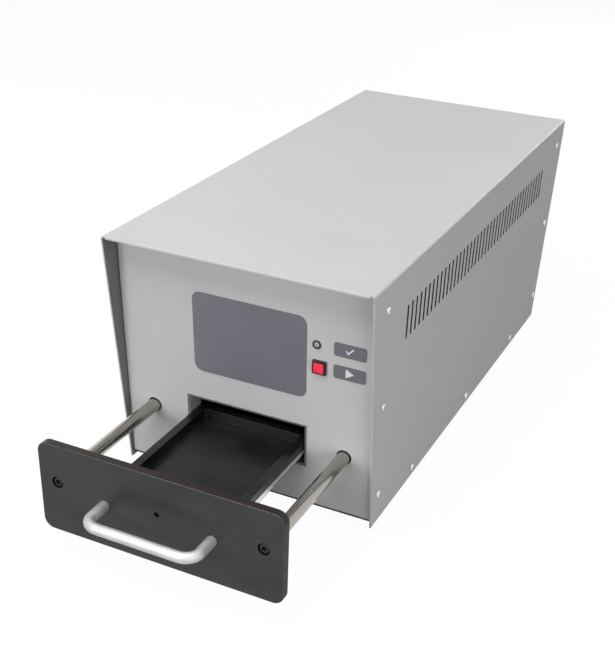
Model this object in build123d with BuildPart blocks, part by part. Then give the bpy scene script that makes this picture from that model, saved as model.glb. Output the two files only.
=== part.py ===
"""Bench degausser for disk drives: a sheet-metal case with a coil behind a sliding drawer.

The drawer is drawn fully open. X runs across, Y from front to back and Z up. The origin is on the
surface that the feet stand on, below the middle of the whole length with the drawer open.
"""

import os
from math import cos, radians, sin, tan

from build123d import *

# Tray pocket for the medium: the drawer, the coil and the case are sized round it
POCKET_WIDTH = 103.5
POCKET_LENGTH = 150.0
POCKET_DEPTH = 9.5
POCKET_FRONT = 12.0
POCKET_REAR = 8.0
POCKET_RADIUS = 3.0
TRAY_WALL = 8.25
TRAY_THICKNESS = 13.5
TRAY_ABOVE_ROD = 2.5
SLIDE_HEIGHT = 5.0
SLIDE_DEPTH = 3.0
SLIDE_PROUD = 0.5
SLIDE_RAISE = 1.5
STUD_DIAMETER = 4.0
STUD_SET_BACK = 2.0
STUD_GRIP = 8.0
PIN_PLAY = 0.1

# Drawer mouth, coil former and winding
MOUTH_GAP = 3.5
MOUTH_HEIGHT = 46.0
CHAMBER_MARGIN = 1.5
CHAMBER_END_GAP = 6.8
FORMER_WALL = 5.0
FORMER_GAP = 0.8
COIL_LIFT = 16.5
COIL_FLANGE_SET = 8.0
COIL_FLANGE = 6.0
COIL_FLANGE_PROUD = 2.0
COIL_FLANGE_CORNER = 8.0
WINDING_DEPTH = 18.0
WINDING_RADIUS = 14.0
WINDING_FIT = 0.3
SADDLE_LENGTH = 12.0

# Rod guides: pillow blocks of slide plastic beside the coil
GUIDE_GAP = 0.3
GUIDE_LENGTH = 60.0
GUIDE_SET = 3.0
GUIDE_FOOT_WIDTH = 40.0
GUIDE_FOOT_HEIGHT = 8.0
GUIDE_BOSS = 28.0

# Drawer: laminate front on two rods
DRAWER_TRAVEL = 147.0
PLATE_OVERHANG = 18.7
PLATE_HEIGHT = 89.7
PLATE_THICKNESS = 8.2
PLATE_RADIUS = 10.0
PLATE_EDGE = 0.8
PLATE_ABOVE_ROD = 37.7
PLATE_REST_GAP = 0.6
ROD_DIAMETER = 12.7
ROD_HOLE_PLAY = 1.2
ROD_RUNNING_FIT = 0.05
ROD_CHAMFER = 1.0
ROD_TAIL = 2.0
ROD_SCREW_HEAD = 9.0
ROD_SCREW_HEAD_HEIGHT = 4.0
ROD_SCREW_SOCKET = 5.0
ROD_SCREW_POCKET = 11.5
ROD_SCREW_POCKET_DEPTH = 5.0
COLLAR_DIAMETER = 24.0
COLLAR_LENGTH = 8.0
COLLAR_GAP = 0.3
COLLAR_FIT = 0.05

# Bow handle, bent from round bar
HANDLE_BAR = 10.0
HANDLE_SPACING = 106.0
HANDLE_REACH = 36.5
HANDLE_BEND = 13.0
HANDLE_DROP = 8.4

# Cover: one sheet folded over the top and down both sides, its ends slanting in towards the bottom
ROD_TO_SIDE = 31.2
COVER_HEIGHT = 247.0
COVER_SETBACK = 29.0
COVER_SHEET = 1.5
COVER_BEND = 2.5
COVER_CLEARANCE = 10.0
COVER_LIP = 2.4
LIP_NOTCH = 3.0

# Punched slots in both sides, and the like ones of the fan's grille
SLOT_COUNT = 41
SLOT_PITCH = 10.73
SLOT_WIDTH = 4.0
SLOT_LENGTH = 33.0
SLOT_DROP = 56.0
GRILLE_COUNT = 9
GRILLE_PITCH = 8.0

# Heads of the screws that hold the cover: a column at each end and a row along the bottom
SCREW_HEAD = 6.0
SCREW_HEAD_HEIGHT = 2.0
SCREW_HEAD_SIDES = 10
SCREW_HEAD_TAPER = 25.0
SCREW_INSET = 9.2
SCREW_DROP = 24.0
SCREW_RISE = 32.0
SCREW_COLUMN_COUNT = 3
SCREW_ROW_PITCH = 166.0
SCREW_ROW_HEIGHT = 10.5

# Chassis: base pan with front and rear panels that lean out at the top
CHASSIS_SHEET = 2.0
BASE_RAISE = 4.0
BASE_FLANGE = 22.0
BASE_END_GAP = 1.0
PANEL_RECESS = 20.6
PANEL_TILT = 2.75
PANEL_FLANGE = 18.0
FLANGE_GAP = 1.0

# Tapered rubber feet
FOOT_SIDE = 26.0
FOOT_INSET = 32.5
FOOT_SET = 82.0

# Lamp and start button on the front panel
LAMP_X = 72.3
LAMP_LIFT = 64.0
LAMP_RING = 8.2
LAMP_PROUD = 1.4
LAMP_LENS = 6.2
LAMP_LENS_PROUD = 1.8
LAMP_LENS_LENGTH = 12.0
LAMP_FIT = 0.1
BUTTON_X = 75.5
BUTTON_LIFT = 42.3
BEZEL_SIDE = 13.2
BEZEL_PROUD = 3.0
BARREL_SIDE = 11.8
BARREL_LENGTH = 10.0
BARREL_FLOOR = 2.0
CAP_SIDE = 9.0
CAP_FIT = 0.15
CAP_PROUD = 1.0
CAP_LENGTH = 8.0
CAP_EDGE = 0.5
BUTTON_HOLE_PLAY = 0.1
SWITCH_LENGTH = 16.0
TERMINAL_WIDTH = 2.8
TERMINAL_THICKNESS = 0.8
TERMINAL_LENGTH = 7.0
TERMINAL_PITCH = 5.0

# Drawer switch, worked by the end of the left rod
DRAWER_SWITCH_WIDTH = 16.0
DRAWER_SWITCH_HEIGHT = 28.0
DRAWER_SWITCH_DEPTH = 10.0
DRAWER_SWITCH_PLUNGER = 4.0
DRAWER_SWITCH_GAP = 0.5
SWITCH_POST_WIDTH = 14.0
SWITCH_POST_SHEET = 2.0
SWITCH_POST_FOOT = 16.0

# Pulse capacitors: box cases between the rods, their tops a set distance below the roof
CAN_COUNT = 3
CAN_LENGTH = 50.0
CAN_GAP = 4.0
CAN_CHAMFER = 4.0
CAN_HEADROOM = 99.5
BANK_SIDE_GAP = 9.3
BANK_GAP = 12.0
CRADLE_BORDER = 6.0
CRADLE_HEIGHT = 12.0
CRADLE_FIT = 0.3
POST_WIDTH = 14.0
POST_HEIGHT = 12.0
POST_SPACING = 60.0
BUS_THICKNESS = 3.0
BUS_WIDTH = 20.0
LEAD_WIDTH = 16.0
LEAD_THICKNESS = 3.0
LEAD_RISE = 20.0
LEAD_SLOT_PLAY = 2.0

# Rear bay: pulse switch on its heatsink, bleed resistors and charging transformer
REAR_BAY = 156.6
SINK_WIDTH = 96.0
SINK_HEIGHT = 46.0
SINK_LENGTH = 76.0
SINK_PLATE = 10.0
SINK_FIN = 3.0
SINK_FIN_COUNT = 9
SINK_GAP = 12.0
SINK_X = 58.0
MODULE_WIDTH = 34.0
MODULE_LENGTH = 66.0
MODULE_HEIGHT = 30.0
MODULE_STEP = 6.0
MODULE_TAB = 14.0
MODULE_TAB_PITCH = 20.0
RESISTOR_LENGTH = 50.0
RESISTOR_WIDTH = 16.0
RESISTOR_HEIGHT = 15.0
RESISTOR_FLANGE = 28.0
RESISTOR_FLANGE_THICKNESS = 3.0
RESISTOR_PITCH = 34.0
CORE_WIDTH = 96.0
CORE_HEIGHT = 80.0
CORE_STACK = 44.0
CORE_LEG = 16.0
TRANSFORMER_X = -62.0
TRANSFORMER_GAP = 14.0
TRANSFORMER_COIL_PROUD = 12.0
TRANSFORMER_COIL_CORNER = 5.0
TRANSFORMER_COIL_FIT = 0.5
FRAME_SHEET = 2.0
FRAME_FOOT = 14.0

# Control board over the coil
SHELF_SHEET = 1.5
SHELF_LIP = 12.0
BOARD_MARGIN = 7.0
BOARD_END_MARGIN = 20.0
BOARD_THICKNESS = 1.6
SPACER_WIDTH = 7.0
SPACER_HEIGHT = 8.0
SPACER_INSET = 6.0
RELAY_SIDE = 28.0
RELAY_HEIGHT = 25.0
BLOCK_LENGTH = 60.0
BLOCK_DEPTH = 10.0
BLOCK_HEIGHT = 12.0

# Fan behind the rear panel
FAN_SIDE = 80.0
FAN_DEPTH = 25.0
FAN_DUCT = 76.0
FAN_CORNER = 3.0
FAN_DROP = 73.0
FAN_X = -60.0
FAN_HUB = 34.0
FAN_HUB_LENGTH = 17.0
FAN_MOTOR_PLATE = 3.0
FAN_STRUT = 5.0
FAN_SHAFT = 4.0
FAN_SHAFT_LENGTH = 4.0
FAN_BLADES = 5
FAN_TIP_GAP = 2.0
FAN_RUNNING_GAP = 1.0
BLADE_CHORD = 21.0
BLADE_THICKNESS = 1.6
BLADE_PITCH = 40.0
FAN_BOLT_PITCH = 71.5

# Mains inlet and power rocker in the rear panel
INLET_X = 62.0
INLET_HEIGHT = 60.0
INLET_FLANGE_WIDTH = 32.0
INLET_FLANGE_HEIGHT = 25.0
INLET_FLANGE_THICKNESS = 3.0
INLET_BODY_WIDTH = 27.6
INLET_BODY_HEIGHT = 20.0
INLET_BODY_DEPTH = 18.0
INLET_WALL = 1.5
INLET_CAVITY_DEPTH = 16.5
INLET_CHAMFER = 4.0
INLET_PIN_WIDTH = 4.0
INLET_PIN_THICKNESS = 2.0
INLET_PIN_LENGTH = 11.0
INLET_PIN_SPACING = 14.0
INLET_PIN_STEP = 4.0
ROCKER_HEIGHT = 104.0
ROCKER_FRAME_WIDTH = 30.0
ROCKER_FRAME_HEIGHT = 24.0
ROCKER_FRAME_PROUD = 2.0
ROCKER_FRAME_EDGE = 1.0
ROCKER_BODY_WIDTH = 26.0
ROCKER_BODY_HEIGHT = 20.0
ROCKER_BODY_DEPTH = 22.0
ROCKER_LENGTH = 20.0
ROCKER_WIDTH = 14.0
ROCKER_THICKNESS = 7.0
ROCKER_DISH = 1.2
ROCKER_PIN = 3.0
ROCKER_PLAY = 0.4
ROCKER_TILT = 10.0
ROCKER_WELL_DEPTH = 9.0
ROCKER_PIVOT_DEPTH = 1.5
CUTOUT_PLAY = 0.2

# Widths, from the pocket outwards
tray_width = POCKET_WIDTH + 2 * TRAY_WALL
mouth_width = tray_width + 2 * MOUTH_GAP
chamber_width = mouth_width - 2 * CHAMBER_MARGIN
chamber_height = MOUTH_HEIGHT - 2 * CHAMBER_MARGIN
former_width = chamber_width + 2 * FORMER_WALL
former_height = chamber_height + 2 * FORMER_WALL
flange_width = former_width + 2 * (WINDING_DEPTH + COIL_FLANGE_PROUD)
flange_height = former_height + 2 * (WINDING_DEPTH + COIL_FLANGE_PROUD)
rod_x = flange_width / 2 + GUIDE_GAP + GUIDE_BOSS / 2
plate_width = 2 * (rod_x + PLATE_OVERHANG)
cover_width = 2 * (rod_x + ROD_TO_SIDE)
inner_half = cover_width / 2 - COVER_SHEET
bank_width = 2 * (rod_x - COLLAR_DIAMETER / 2 - BANK_SIDE_GAP)

# Heights, counted up from the standing surface
cover_bottom = COVER_CLEARANCE
cover_top = cover_bottom + COVER_HEIGHT
roof = cover_top - COVER_SHEET
base_bottom = cover_bottom + BASE_RAISE
base_top = base_bottom + CHASSIS_SHEET
rod_z = base_top + COIL_LIFT + flange_height / 2
flange_bottom = rod_z - flange_height / 2
flange_top = rod_z + flange_height / 2
plate_top = rod_z + PLATE_ABOVE_ROD
plate_middle_z = plate_top - PLATE_HEIGHT / 2
handle_z = rod_z - HANDLE_DROP
tray_top = rod_z + TRAY_ABOVE_ROD
tray_bottom = tray_top - TRAY_THICKNESS
slot_z = cover_top - SLOT_DROP
lamp_z = flange_top + LAMP_LIFT
button_z = flange_top + BUTTON_LIFT
fan_z = cover_top - FAN_DROP
inlet_z = base_top + INLET_HEIGHT
rocker_z = base_top + ROCKER_HEIGHT
can_top = roof - CAN_HEADROOM
post_top = can_top + POST_HEIGHT
bus_top = post_top + BUS_THICKNESS

# Lengths, counted back from the front edge of the cover's top
lean = tan(radians(PANEL_TILT))
tray_length = POCKET_FRONT + POCKET_LENGTH + POCKET_REAR
bank_length = CAN_COUNT * CAN_LENGTH + (CAN_COUNT - 1) * CAN_GAP
panel_foot_set = PANEL_RECESS + (cover_top - base_top) * lean
plate_back_set = PANEL_RECESS + (cover_top - plate_top) * lean - PLATE_REST_GAP - DRAWER_TRAVEL
handle_front_set = plate_back_set - PLATE_THICKNESS - HANDLE_REACH
former_rear_set = plate_back_set + tray_length + DRAWER_TRAVEL + CHAMBER_END_GAP + FORMER_WALL
bank_set = former_rear_set + LEAD_THICKNESS + BANK_GAP
rear_bay_set = bank_set + bank_length + CRADLE_BORDER
cover_length = rear_bay_set + REAR_BAY + PANEL_FLANGE + panel_foot_set

# Places along Y, with the origin below the middle of the whole length
cover_front = -(cover_length + handle_front_set) / 2
cover_rear = cover_front + cover_length
cover_middle = (cover_front + cover_rear) / 2
plate_back = cover_front + plate_back_set
plate_front = plate_back - PLATE_THICKNESS
handle_front = plate_front - HANDLE_REACH
tray_rear = plate_back + tray_length
former_rear = cover_front + former_rear_set
bank_front = cover_front + bank_set
rear_bay = cover_front + rear_bay_set


def panel_y(z):
    """Y of the front panel's outer face at height z."""
    return cover_front + PANEL_RECESS + (cover_top - z) * lean


def rear_y(z):
    """Y of the rear panel's outer face at height z."""
    return cover_rear - PANEL_RECESS - (cover_top - z) * lean


def panel_plane(x, z):
    """Plane on the front panel's outer face, facing out."""
    tilt = radians(PANEL_TILT)
    return Plane(origin=(x, panel_y(z), z), x_dir=(1, 0, 0), z_dir=(0, -cos(tilt), -sin(tilt)))


def rear_plane(x, z):
    """Plane on the rear panel's outer face, facing out."""
    tilt = radians(PANEL_TILT)
    return Plane(origin=(x, rear_y(z), z), x_dir=(-1, 0, 0), z_dir=(0, cos(tilt), -sin(tilt)))


def cross_plane(y):
    """Upright plane across the case at y, facing the front."""
    return Plane.XZ.offset(-y)


def cover_screw_points():
    """Y and Z of the cover's screws, the same on both sides."""
    points = []
    step = (COVER_HEIGHT - SCREW_DROP - SCREW_RISE) / (SCREW_COLUMN_COUNT - 1)
    for index in range(SCREW_COLUMN_COUNT):
        z = cover_top - SCREW_DROP - index * step
        points.append((panel_y(z) + SCREW_INSET, z))
        points.append((rear_y(z) - SCREW_INSET, z))
    for index in (-1, 0, 1):
        points.append((cover_middle + index * SCREW_ROW_PITCH, cover_bottom + SCREW_ROW_HEIGHT))
    return points


os.makedirs("parts", exist_ok=True)

# Cover, with its lips and slots
with BuildPart() as cover:
    with BuildSketch(cross_plane(cover_front)) as folded:
        with Locations((0, (cover_bottom + cover_top) / 2)):
            Rectangle(cover_width, COVER_HEIGHT)
        fillet(folded.vertices().group_by(Axis.Y)[-1], COVER_BEND)
    extrude(amount=-cover_length)
    with BuildSketch(cross_plane(cover_front)) as hollow:
        with Locations((0, (cover_bottom + roof) / 2)):
            Rectangle(2 * inner_half, roof - cover_bottom)
        fillet(hollow.vertices().group_by(Axis.Y)[-1], COVER_BEND - COVER_SHEET)
    extrude(amount=-cover_length, mode=Mode.SUBTRACT)
    with BuildSketch(Plane.YZ):
        for end, inward in ((cover_front, COVER_SETBACK), (cover_rear, -COVER_SETBACK)):
            Polygon((end, cover_top), (end + inward, cover_bottom), (end, cover_bottom))
    extrude(amount=cover_width, both=True, mode=Mode.SUBTRACT)
    with BuildSketch(Plane.YZ):
        for end, inward in ((cover_front, COVER_SHEET), (cover_rear, -COVER_SHEET)):
            with Locations((end + inward / 2, cover_top - COVER_LIP / 2)):
                Rectangle(COVER_SHEET, COVER_LIP)
    extrude(amount=inner_half - LIP_NOTCH, both=True)
    with BuildSketch(Plane.YZ):
        with Locations((cover_middle, slot_z)):
            with GridLocations(SLOT_PITCH, 0, SLOT_COUNT, 1):
                Rectangle(SLOT_WIDTH, SLOT_LENGTH)
    extrude(amount=cover_width, both=True, mode=Mode.SUBTRACT)
cover.part.label = "cover"
export_step(cover.part, "parts/cover.step")

# Cover screws: pan heads against both sides
with BuildPart() as cover_screws:
    for side in (-1, 1):
        for y, z in cover_screw_points():
            seat = Plane(origin=(side * cover_width / 2, y, z), x_dir=(0, 1, 0), z_dir=(side, 0, 0))
            with BuildSketch(seat):
                RegularPolygon(SCREW_HEAD / 2, SCREW_HEAD_SIDES)
            extrude(amount=SCREW_HEAD_HEIGHT, taper=SCREW_HEAD_TAPER)
cover_screws.part.label = "cover_screws"
export_step(cover_screws.part, "parts/cover_screws.step")

# Base pan: a floor that both panels stand on, with upturned sides between their flanges
base_front = panel_y(base_top) + BASE_END_GAP
base_rear = rear_y(base_top) - BASE_END_GAP
side_front = panel_y(base_top) + PANEL_FLANGE + FLANGE_GAP
side_rear = rear_y(base_top) - PANEL_FLANGE - FLANGE_GAP
with BuildPart() as base_pan:
    with BuildSketch(Plane.YZ):
        with Locations(((base_front + base_rear) / 2, (base_bottom + base_top) / 2)):
            Rectangle(base_rear - base_front, CHASSIS_SHEET)
    extrude(amount=inner_half, both=True)
    with BuildSketch(Plane.YZ):
        with Locations(((side_front + side_rear) / 2, base_bottom + BASE_FLANGE / 2)):
            Rectangle(side_rear - side_front, BASE_FLANGE)
    extrude(amount=inner_half, both=True)
    with BuildSketch(Plane.YZ):
        with Locations(((side_front + side_rear) / 2, base_top + BASE_FLANGE / 2)):
            Rectangle(side_rear - side_front, BASE_FLANGE)
    extrude(amount=inner_half - CHASSIS_SHEET, both=True, mode=Mode.SUBTRACT)
base_pan.part.label = "base_pan"
export_step(base_pan.part, "parts/base_pan.step")

# Rubber feet, stuck under the base pan
foot_x = cover_width / 2 - FOOT_INSET
with BuildPart() as feet:
    for x in (-foot_x, foot_x):
        for y in (cover_front + FOOT_SET, cover_rear - FOOT_SET):
            with BuildSketch(Plane.XY.offset(base_bottom)):
                with Locations((x, y)):
                    Rectangle(FOOT_SIDE, FOOT_SIDE)
            extrude(amount=-base_bottom)
feet.part.label = "feet"
export_step(feet.part, "parts/feet.step")

# Front panel: a shallow folded box, open at the back, with the drawer mouth and rod holes
with BuildPart() as front_panel:
    with BuildSketch(Plane.YZ):
        Polygon(
            (panel_y(base_top), base_top),
            (panel_y(roof), roof),
            (panel_y(roof) + PANEL_FLANGE, roof),
            (panel_y(base_top) + PANEL_FLANGE, base_top),
        )
    extrude(amount=inner_half, both=True)
    chamfer(front_panel.faces().sort_by(Axis.Z)[-1].edges().filter_by(Axis.Y), COVER_BEND - COVER_SHEET)
    with BuildSketch(Plane.YZ):
        low = base_top + CHASSIS_SHEET
        high = roof - CHASSIS_SHEET
        Polygon(
            (panel_y(low) + CHASSIS_SHEET, low),
            (panel_y(high) + CHASSIS_SHEET, high),
            (panel_y(high) + 2 * PANEL_FLANGE, high),
            (panel_y(low) + 2 * PANEL_FLANGE, low),
        )
    extrude(amount=inner_half - CHASSIS_SHEET, both=True, mode=Mode.SUBTRACT)
    with BuildSketch(cross_plane(cover_front)):
        with Locations((0, rod_z)):
            Rectangle(mouth_width, MOUTH_HEIGHT)
            with GridLocations(2 * rod_x, 0, 2, 1):
                Circle(ROD_DIAMETER / 2 + ROD_HOLE_PLAY)
    extrude(amount=-PANEL_RECESS - COVER_SETBACK, mode=Mode.SUBTRACT)
    with BuildSketch(panel_plane(LAMP_X, lamp_z)):
        Circle(LAMP_LENS / 2 + LAMP_FIT)
    extrude(amount=-2 * CHASSIS_SHEET, mode=Mode.SUBTRACT)
    with BuildSketch(panel_plane(BUTTON_X, button_z)):
        Rectangle(BARREL_SIDE + 2 * BUTTON_HOLE_PLAY, BARREL_SIDE + 2 * BUTTON_HOLE_PLAY)
    extrude(amount=-2 * CHASSIS_SHEET, mode=Mode.SUBTRACT)
front_panel.part.label = "front_panel"
export_step(front_panel.part, "parts/front_panel.step")

# Rear panel: the same box turned round, with the fan grille and the mains cut-outs
with BuildPart() as rear_panel:
    with BuildSketch(Plane.YZ):
        Polygon(
            (rear_y(base_top), base_top),
            (rear_y(roof), roof),
            (rear_y(roof) - PANEL_FLANGE, roof),
            (rear_y(base_top) - PANEL_FLANGE, base_top),
        )
    extrude(amount=inner_half, both=True)
    chamfer(rear_panel.faces().sort_by(Axis.Z)[-1].edges().filter_by(Axis.Y), COVER_BEND - COVER_SHEET)
    with BuildSketch(Plane.YZ):
        low = base_top + CHASSIS_SHEET
        high = roof - CHASSIS_SHEET
        Polygon(
            (rear_y(low) - CHASSIS_SHEET, low),
            (rear_y(high) - CHASSIS_SHEET, high),
            (rear_y(high) - 2 * PANEL_FLANGE, high),
            (rear_y(low) - 2 * PANEL_FLANGE, low),
        )
    extrude(amount=inner_half - CHASSIS_SHEET, both=True, mode=Mode.SUBTRACT)
    with BuildSketch(rear_plane(FAN_X, fan_z)):
        for index in range(GRILLE_COUNT):
            row = (index - (GRILLE_COUNT - 1) / 2) * GRILLE_PITCH
            chord = 2 * ((FAN_DUCT / 2) ** 2 - row**2) ** 0.5 - SLOT_WIDTH
            with Locations((0, row)):
                Rectangle(chord, SLOT_WIDTH)
    extrude(amount=-2 * CHASSIS_SHEET, mode=Mode.SUBTRACT)
    with BuildSketch(rear_plane(INLET_X, inlet_z)):
        Rectangle(INLET_BODY_WIDTH + 2 * CUTOUT_PLAY, INLET_BODY_HEIGHT + 2 * CUTOUT_PLAY)
    extrude(amount=-2 * CHASSIS_SHEET, mode=Mode.SUBTRACT)
    with BuildSketch(rear_plane(INLET_X, rocker_z)):
        Rectangle(ROCKER_BODY_WIDTH + 2 * CUTOUT_PLAY, ROCKER_BODY_HEIGHT + 2 * CUTOUT_PLAY)
    extrude(amount=-2 * CHASSIS_SHEET, mode=Mode.SUBTRACT)
rear_panel.part.label = "rear_panel"
export_step(rear_panel.part, "parts/rear_panel.step")

# Ready lamp: a clear rod through the panel, and the black ring that it is pushed into
lamp_plane = panel_plane(LAMP_X, lamp_z)
with BuildPart() as lamp_bezel:
    with BuildSketch(lamp_plane):
        Circle(LAMP_RING / 2)
        Circle(LAMP_LENS / 2 + LAMP_FIT, mode=Mode.SUBTRACT)
    extrude(amount=LAMP_PROUD)
lamp_bezel.part.label = "lamp_bezel"
export_step(lamp_bezel.part, "parts/lamp_bezel.step")

with BuildPart() as lamp_lens:
    with BuildSketch(lamp_plane.offset(LAMP_LENS_PROUD)):
        Circle(LAMP_LENS / 2)
    extrude(amount=-LAMP_LENS_LENGTH)
lamp_lens.part.label = "lamp_lens"
export_step(lamp_lens.part, "parts/lamp_lens.step")

# Start button: square bezel with its barrel, the moving cap, and the switch body behind
button_plane = panel_plane(BUTTON_X, button_z)
cap_well = CAP_SIDE + 2 * CAP_FIT
with BuildPart() as button_bezel:
    with BuildSketch(button_plane):
        Rectangle(BEZEL_SIDE, BEZEL_SIDE)
    extrude(amount=BEZEL_PROUD)
    with BuildSketch(button_plane):
        Rectangle(BARREL_SIDE, BARREL_SIDE)
    extrude(amount=-BARREL_LENGTH)
    with BuildSketch(button_plane.offset(BEZEL_PROUD)):
        Rectangle(cap_well, cap_well)
    extrude(amount=-BEZEL_PROUD - BARREL_LENGTH + BARREL_FLOOR, mode=Mode.SUBTRACT)
button_bezel.part.label = "button_bezel"
export_step(button_bezel.part, "parts/button_bezel.step")

with BuildPart() as button_cap:
    with BuildSketch(button_plane.offset(BEZEL_PROUD + CAP_PROUD)):
        Rectangle(CAP_SIDE, CAP_SIDE)
    extrude(amount=-CAP_LENGTH)
    chamfer(button_cap.faces().sort_by(Axis.Y)[0].edges(), CAP_EDGE)
button_cap.part.label = "button_cap"
export_step(button_cap.part, "parts/button_cap.step")

with BuildPart() as button_switch:
    with BuildSketch(button_plane.offset(-BARREL_LENGTH)):
        Rectangle(BARREL_SIDE, BARREL_SIDE)
    extrude(amount=-SWITCH_LENGTH)
    with BuildSketch(button_plane.offset(-BARREL_LENGTH - SWITCH_LENGTH)):
        with GridLocations(TERMINAL_PITCH, 0, 2, 1):
            Rectangle(TERMINAL_THICKNESS, TERMINAL_WIDTH)
    extrude(amount=-TERMINAL_LENGTH)
button_switch.part.label = "button_switch"
export_step(button_switch.part, "parts/button_switch.step")

# Drawer front: laminate board with pockets for the rod screws and a small hole for the tray's stud
with BuildPart() as drawer_front:
    with BuildSketch(cross_plane(plate_front)):
        with Locations((0, plate_middle_z)):
            RectangleRounded(plate_width, PLATE_HEIGHT, PLATE_RADIUS)
    extrude(amount=-PLATE_THICKNESS)
    chamfer(drawer_front.faces().sort_by(Axis.Y)[0].edges(), PLATE_EDGE)
    with BuildSketch(cross_plane(plate_front)):
        with Locations((0, rod_z)):
            with GridLocations(2 * rod_x, 0, 2, 1):
                Circle(ROD_SCREW_POCKET / 2)
    extrude(amount=-ROD_SCREW_POCKET_DEPTH, mode=Mode.SUBTRACT)
    with BuildSketch(cross_plane(plate_front)):
        with Locations((0, rod_z)):
            Circle(STUD_DIAMETER / 2 + PIN_PLAY)
    extrude(amount=-PLATE_THICKNESS, mode=Mode.SUBTRACT)
drawer_front.part.label = "drawer_front"
export_step(drawer_front.part, "parts/drawer_front.step")

# Bow handle: round bar bent twice, its ends square on the drawer front
bar_centre = handle_front + HANDLE_BAR / 2
with BuildPart() as drawer_handle:
    with BuildLine() as bow:
        FilletPolyline(
            (-HANDLE_SPACING / 2, plate_front, handle_z),
            (-HANDLE_SPACING / 2, bar_centre, handle_z),
            (HANDLE_SPACING / 2, bar_centre, handle_z),
            (HANDLE_SPACING / 2, plate_front, handle_z),
            radius=HANDLE_BEND,
        )
    with BuildSketch(cross_plane(plate_front)):
        with Locations((-HANDLE_SPACING / 2, handle_z)):
            Circle(HANDLE_BAR / 2)
    sweep(path=bow.wires()[0])
drawer_handle.part.label = "drawer_handle"
export_step(drawer_handle.part, "parts/drawer_handle.step")

# Coil former: a box-section tube with two flanges, closed at the back
former_front = panel_y(rod_z - former_height / 2) + CHASSIS_SHEET + FORMER_GAP
former_length = former_rear - former_front
flange_steps = (former_front + COIL_FLANGE_SET, former_rear - COIL_FLANGE)
with BuildPart() as coil_former:
    with BuildSketch(cross_plane(former_front)):
        with Locations((0, rod_z)):
            Rectangle(former_width, former_height)
    extrude(amount=-former_length)
    for flange_y in flange_steps:
        with BuildSketch(cross_plane(flange_y)) as flange:
            with Locations((0, rod_z)):
                Rectangle(flange_width, flange_height)
            chamfer(flange.vertices(), COIL_FLANGE_CORNER)
        extrude(amount=-COIL_FLANGE)
    with BuildSketch(cross_plane(former_front)):
        with Locations((0, rod_z)):
            Rectangle(chamber_width, chamber_height)
    extrude(amount=FORMER_WALL - former_length, mode=Mode.SUBTRACT)
coil_former.part.label = "coil_former"
export_step(coil_former.part, "parts/coil_former.step")

# Coil winding between the flanges
winding_front = flange_steps[0] + COIL_FLANGE
winding_length = flange_steps[1] - winding_front
with BuildPart() as coil_winding:
    with BuildSketch(cross_plane(winding_front)):
        with Locations((0, rod_z)):
            RectangleRounded(
                former_width + 2 * WINDING_DEPTH, former_height + 2 * WINDING_DEPTH, WINDING_RADIUS
            )
            Rectangle(
                former_width + 2 * WINDING_FIT, former_height + 2 * WINDING_FIT, mode=Mode.SUBTRACT
            )
    extrude(amount=-winding_length)
coil_winding.part.label = "coil_winding"
export_step(coil_winding.part, "parts/coil_winding.step")

# Saddles that carry the former's flanges: the front one on the panel's fold, the rear one on the pan
with BuildPart() as coil_saddles:
    for flange_y, seat_z in zip(flange_steps, (base_top + CHASSIS_SHEET, base_top)):
        with BuildSketch(Plane.XY.offset(seat_z)):
            with Locations((0, flange_y + COIL_FLANGE / 2)):
                Rectangle(former_width, SADDLE_LENGTH)
        extrude(amount=flange_bottom - seat_z)
coil_saddles.part.label = "coil_saddles"
export_step(coil_saddles.part, "parts/coil_saddles.step")

# Rod guides: one pillow block each side, a foot and a bored block drawn as one profile
guide_front = winding_front + GUIDE_SET
guide_rear = guide_front + GUIDE_LENGTH


def guide_profile(x):
    """Outline of a pillow block at x, drawn in the sketch that is open."""
    with Locations((x, base_top + GUIDE_FOOT_HEIGHT / 2)):
        Rectangle(GUIDE_FOOT_WIDTH, GUIDE_FOOT_HEIGHT)
    with Locations((x, (base_top + rod_z + GUIDE_BOSS / 2) / 2)):
        Rectangle(GUIDE_BOSS, rod_z + GUIDE_BOSS / 2 - base_top)
    with Locations((x, rod_z)):
        Circle(ROD_DIAMETER / 2 + ROD_RUNNING_FIT, mode=Mode.SUBTRACT)


with BuildPart() as rod_guide_left:
    with BuildSketch(cross_plane(guide_front)):
        guide_profile(-rod_x)
    extrude(amount=-GUIDE_LENGTH)
rod_guide_left.part.label = "rod_guide_left"
export_step(rod_guide_left.part, "parts/rod_guide_left.step")

with BuildPart() as rod_guide_right:
    with BuildSketch(cross_plane(guide_front)):
        guide_profile(rod_x)
    extrude(amount=-GUIDE_LENGTH)
rod_guide_right.part.label = "rod_guide_right"
export_step(rod_guide_right.part, "parts/rod_guide_right.step")

# Guide rods, screwed to the drawer front and long enough to stay in the guides
collar_front = guide_rear + COLLAR_GAP
rod_rear = collar_front + COLLAR_LENGTH + ROD_TAIL
rod_length = rod_rear - plate_back

with BuildPart() as guide_rod_left:
    with BuildSketch(cross_plane(plate_back)):
        with Locations((-rod_x, rod_z)):
            Circle(ROD_DIAMETER / 2)
    extrude(amount=-rod_length)
    chamfer(guide_rod_left.faces().sort_by(Axis.Y)[-1].edges(), ROD_CHAMFER)
guide_rod_left.part.label = "guide_rod_left"
export_step(guide_rod_left.part, "parts/guide_rod_left.step")

with BuildPart() as guide_rod_right:
    with BuildSketch(cross_plane(plate_back)):
        with Locations((rod_x, rod_z)):
            Circle(ROD_DIAMETER / 2)
    extrude(amount=-rod_length)
    chamfer(guide_rod_right.faces().sort_by(Axis.Y)[-1].edges(), ROD_CHAMFER)
guide_rod_right.part.label = "guide_rod_right"
export_step(guide_rod_right.part, "parts/guide_rod_right.step")

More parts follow.
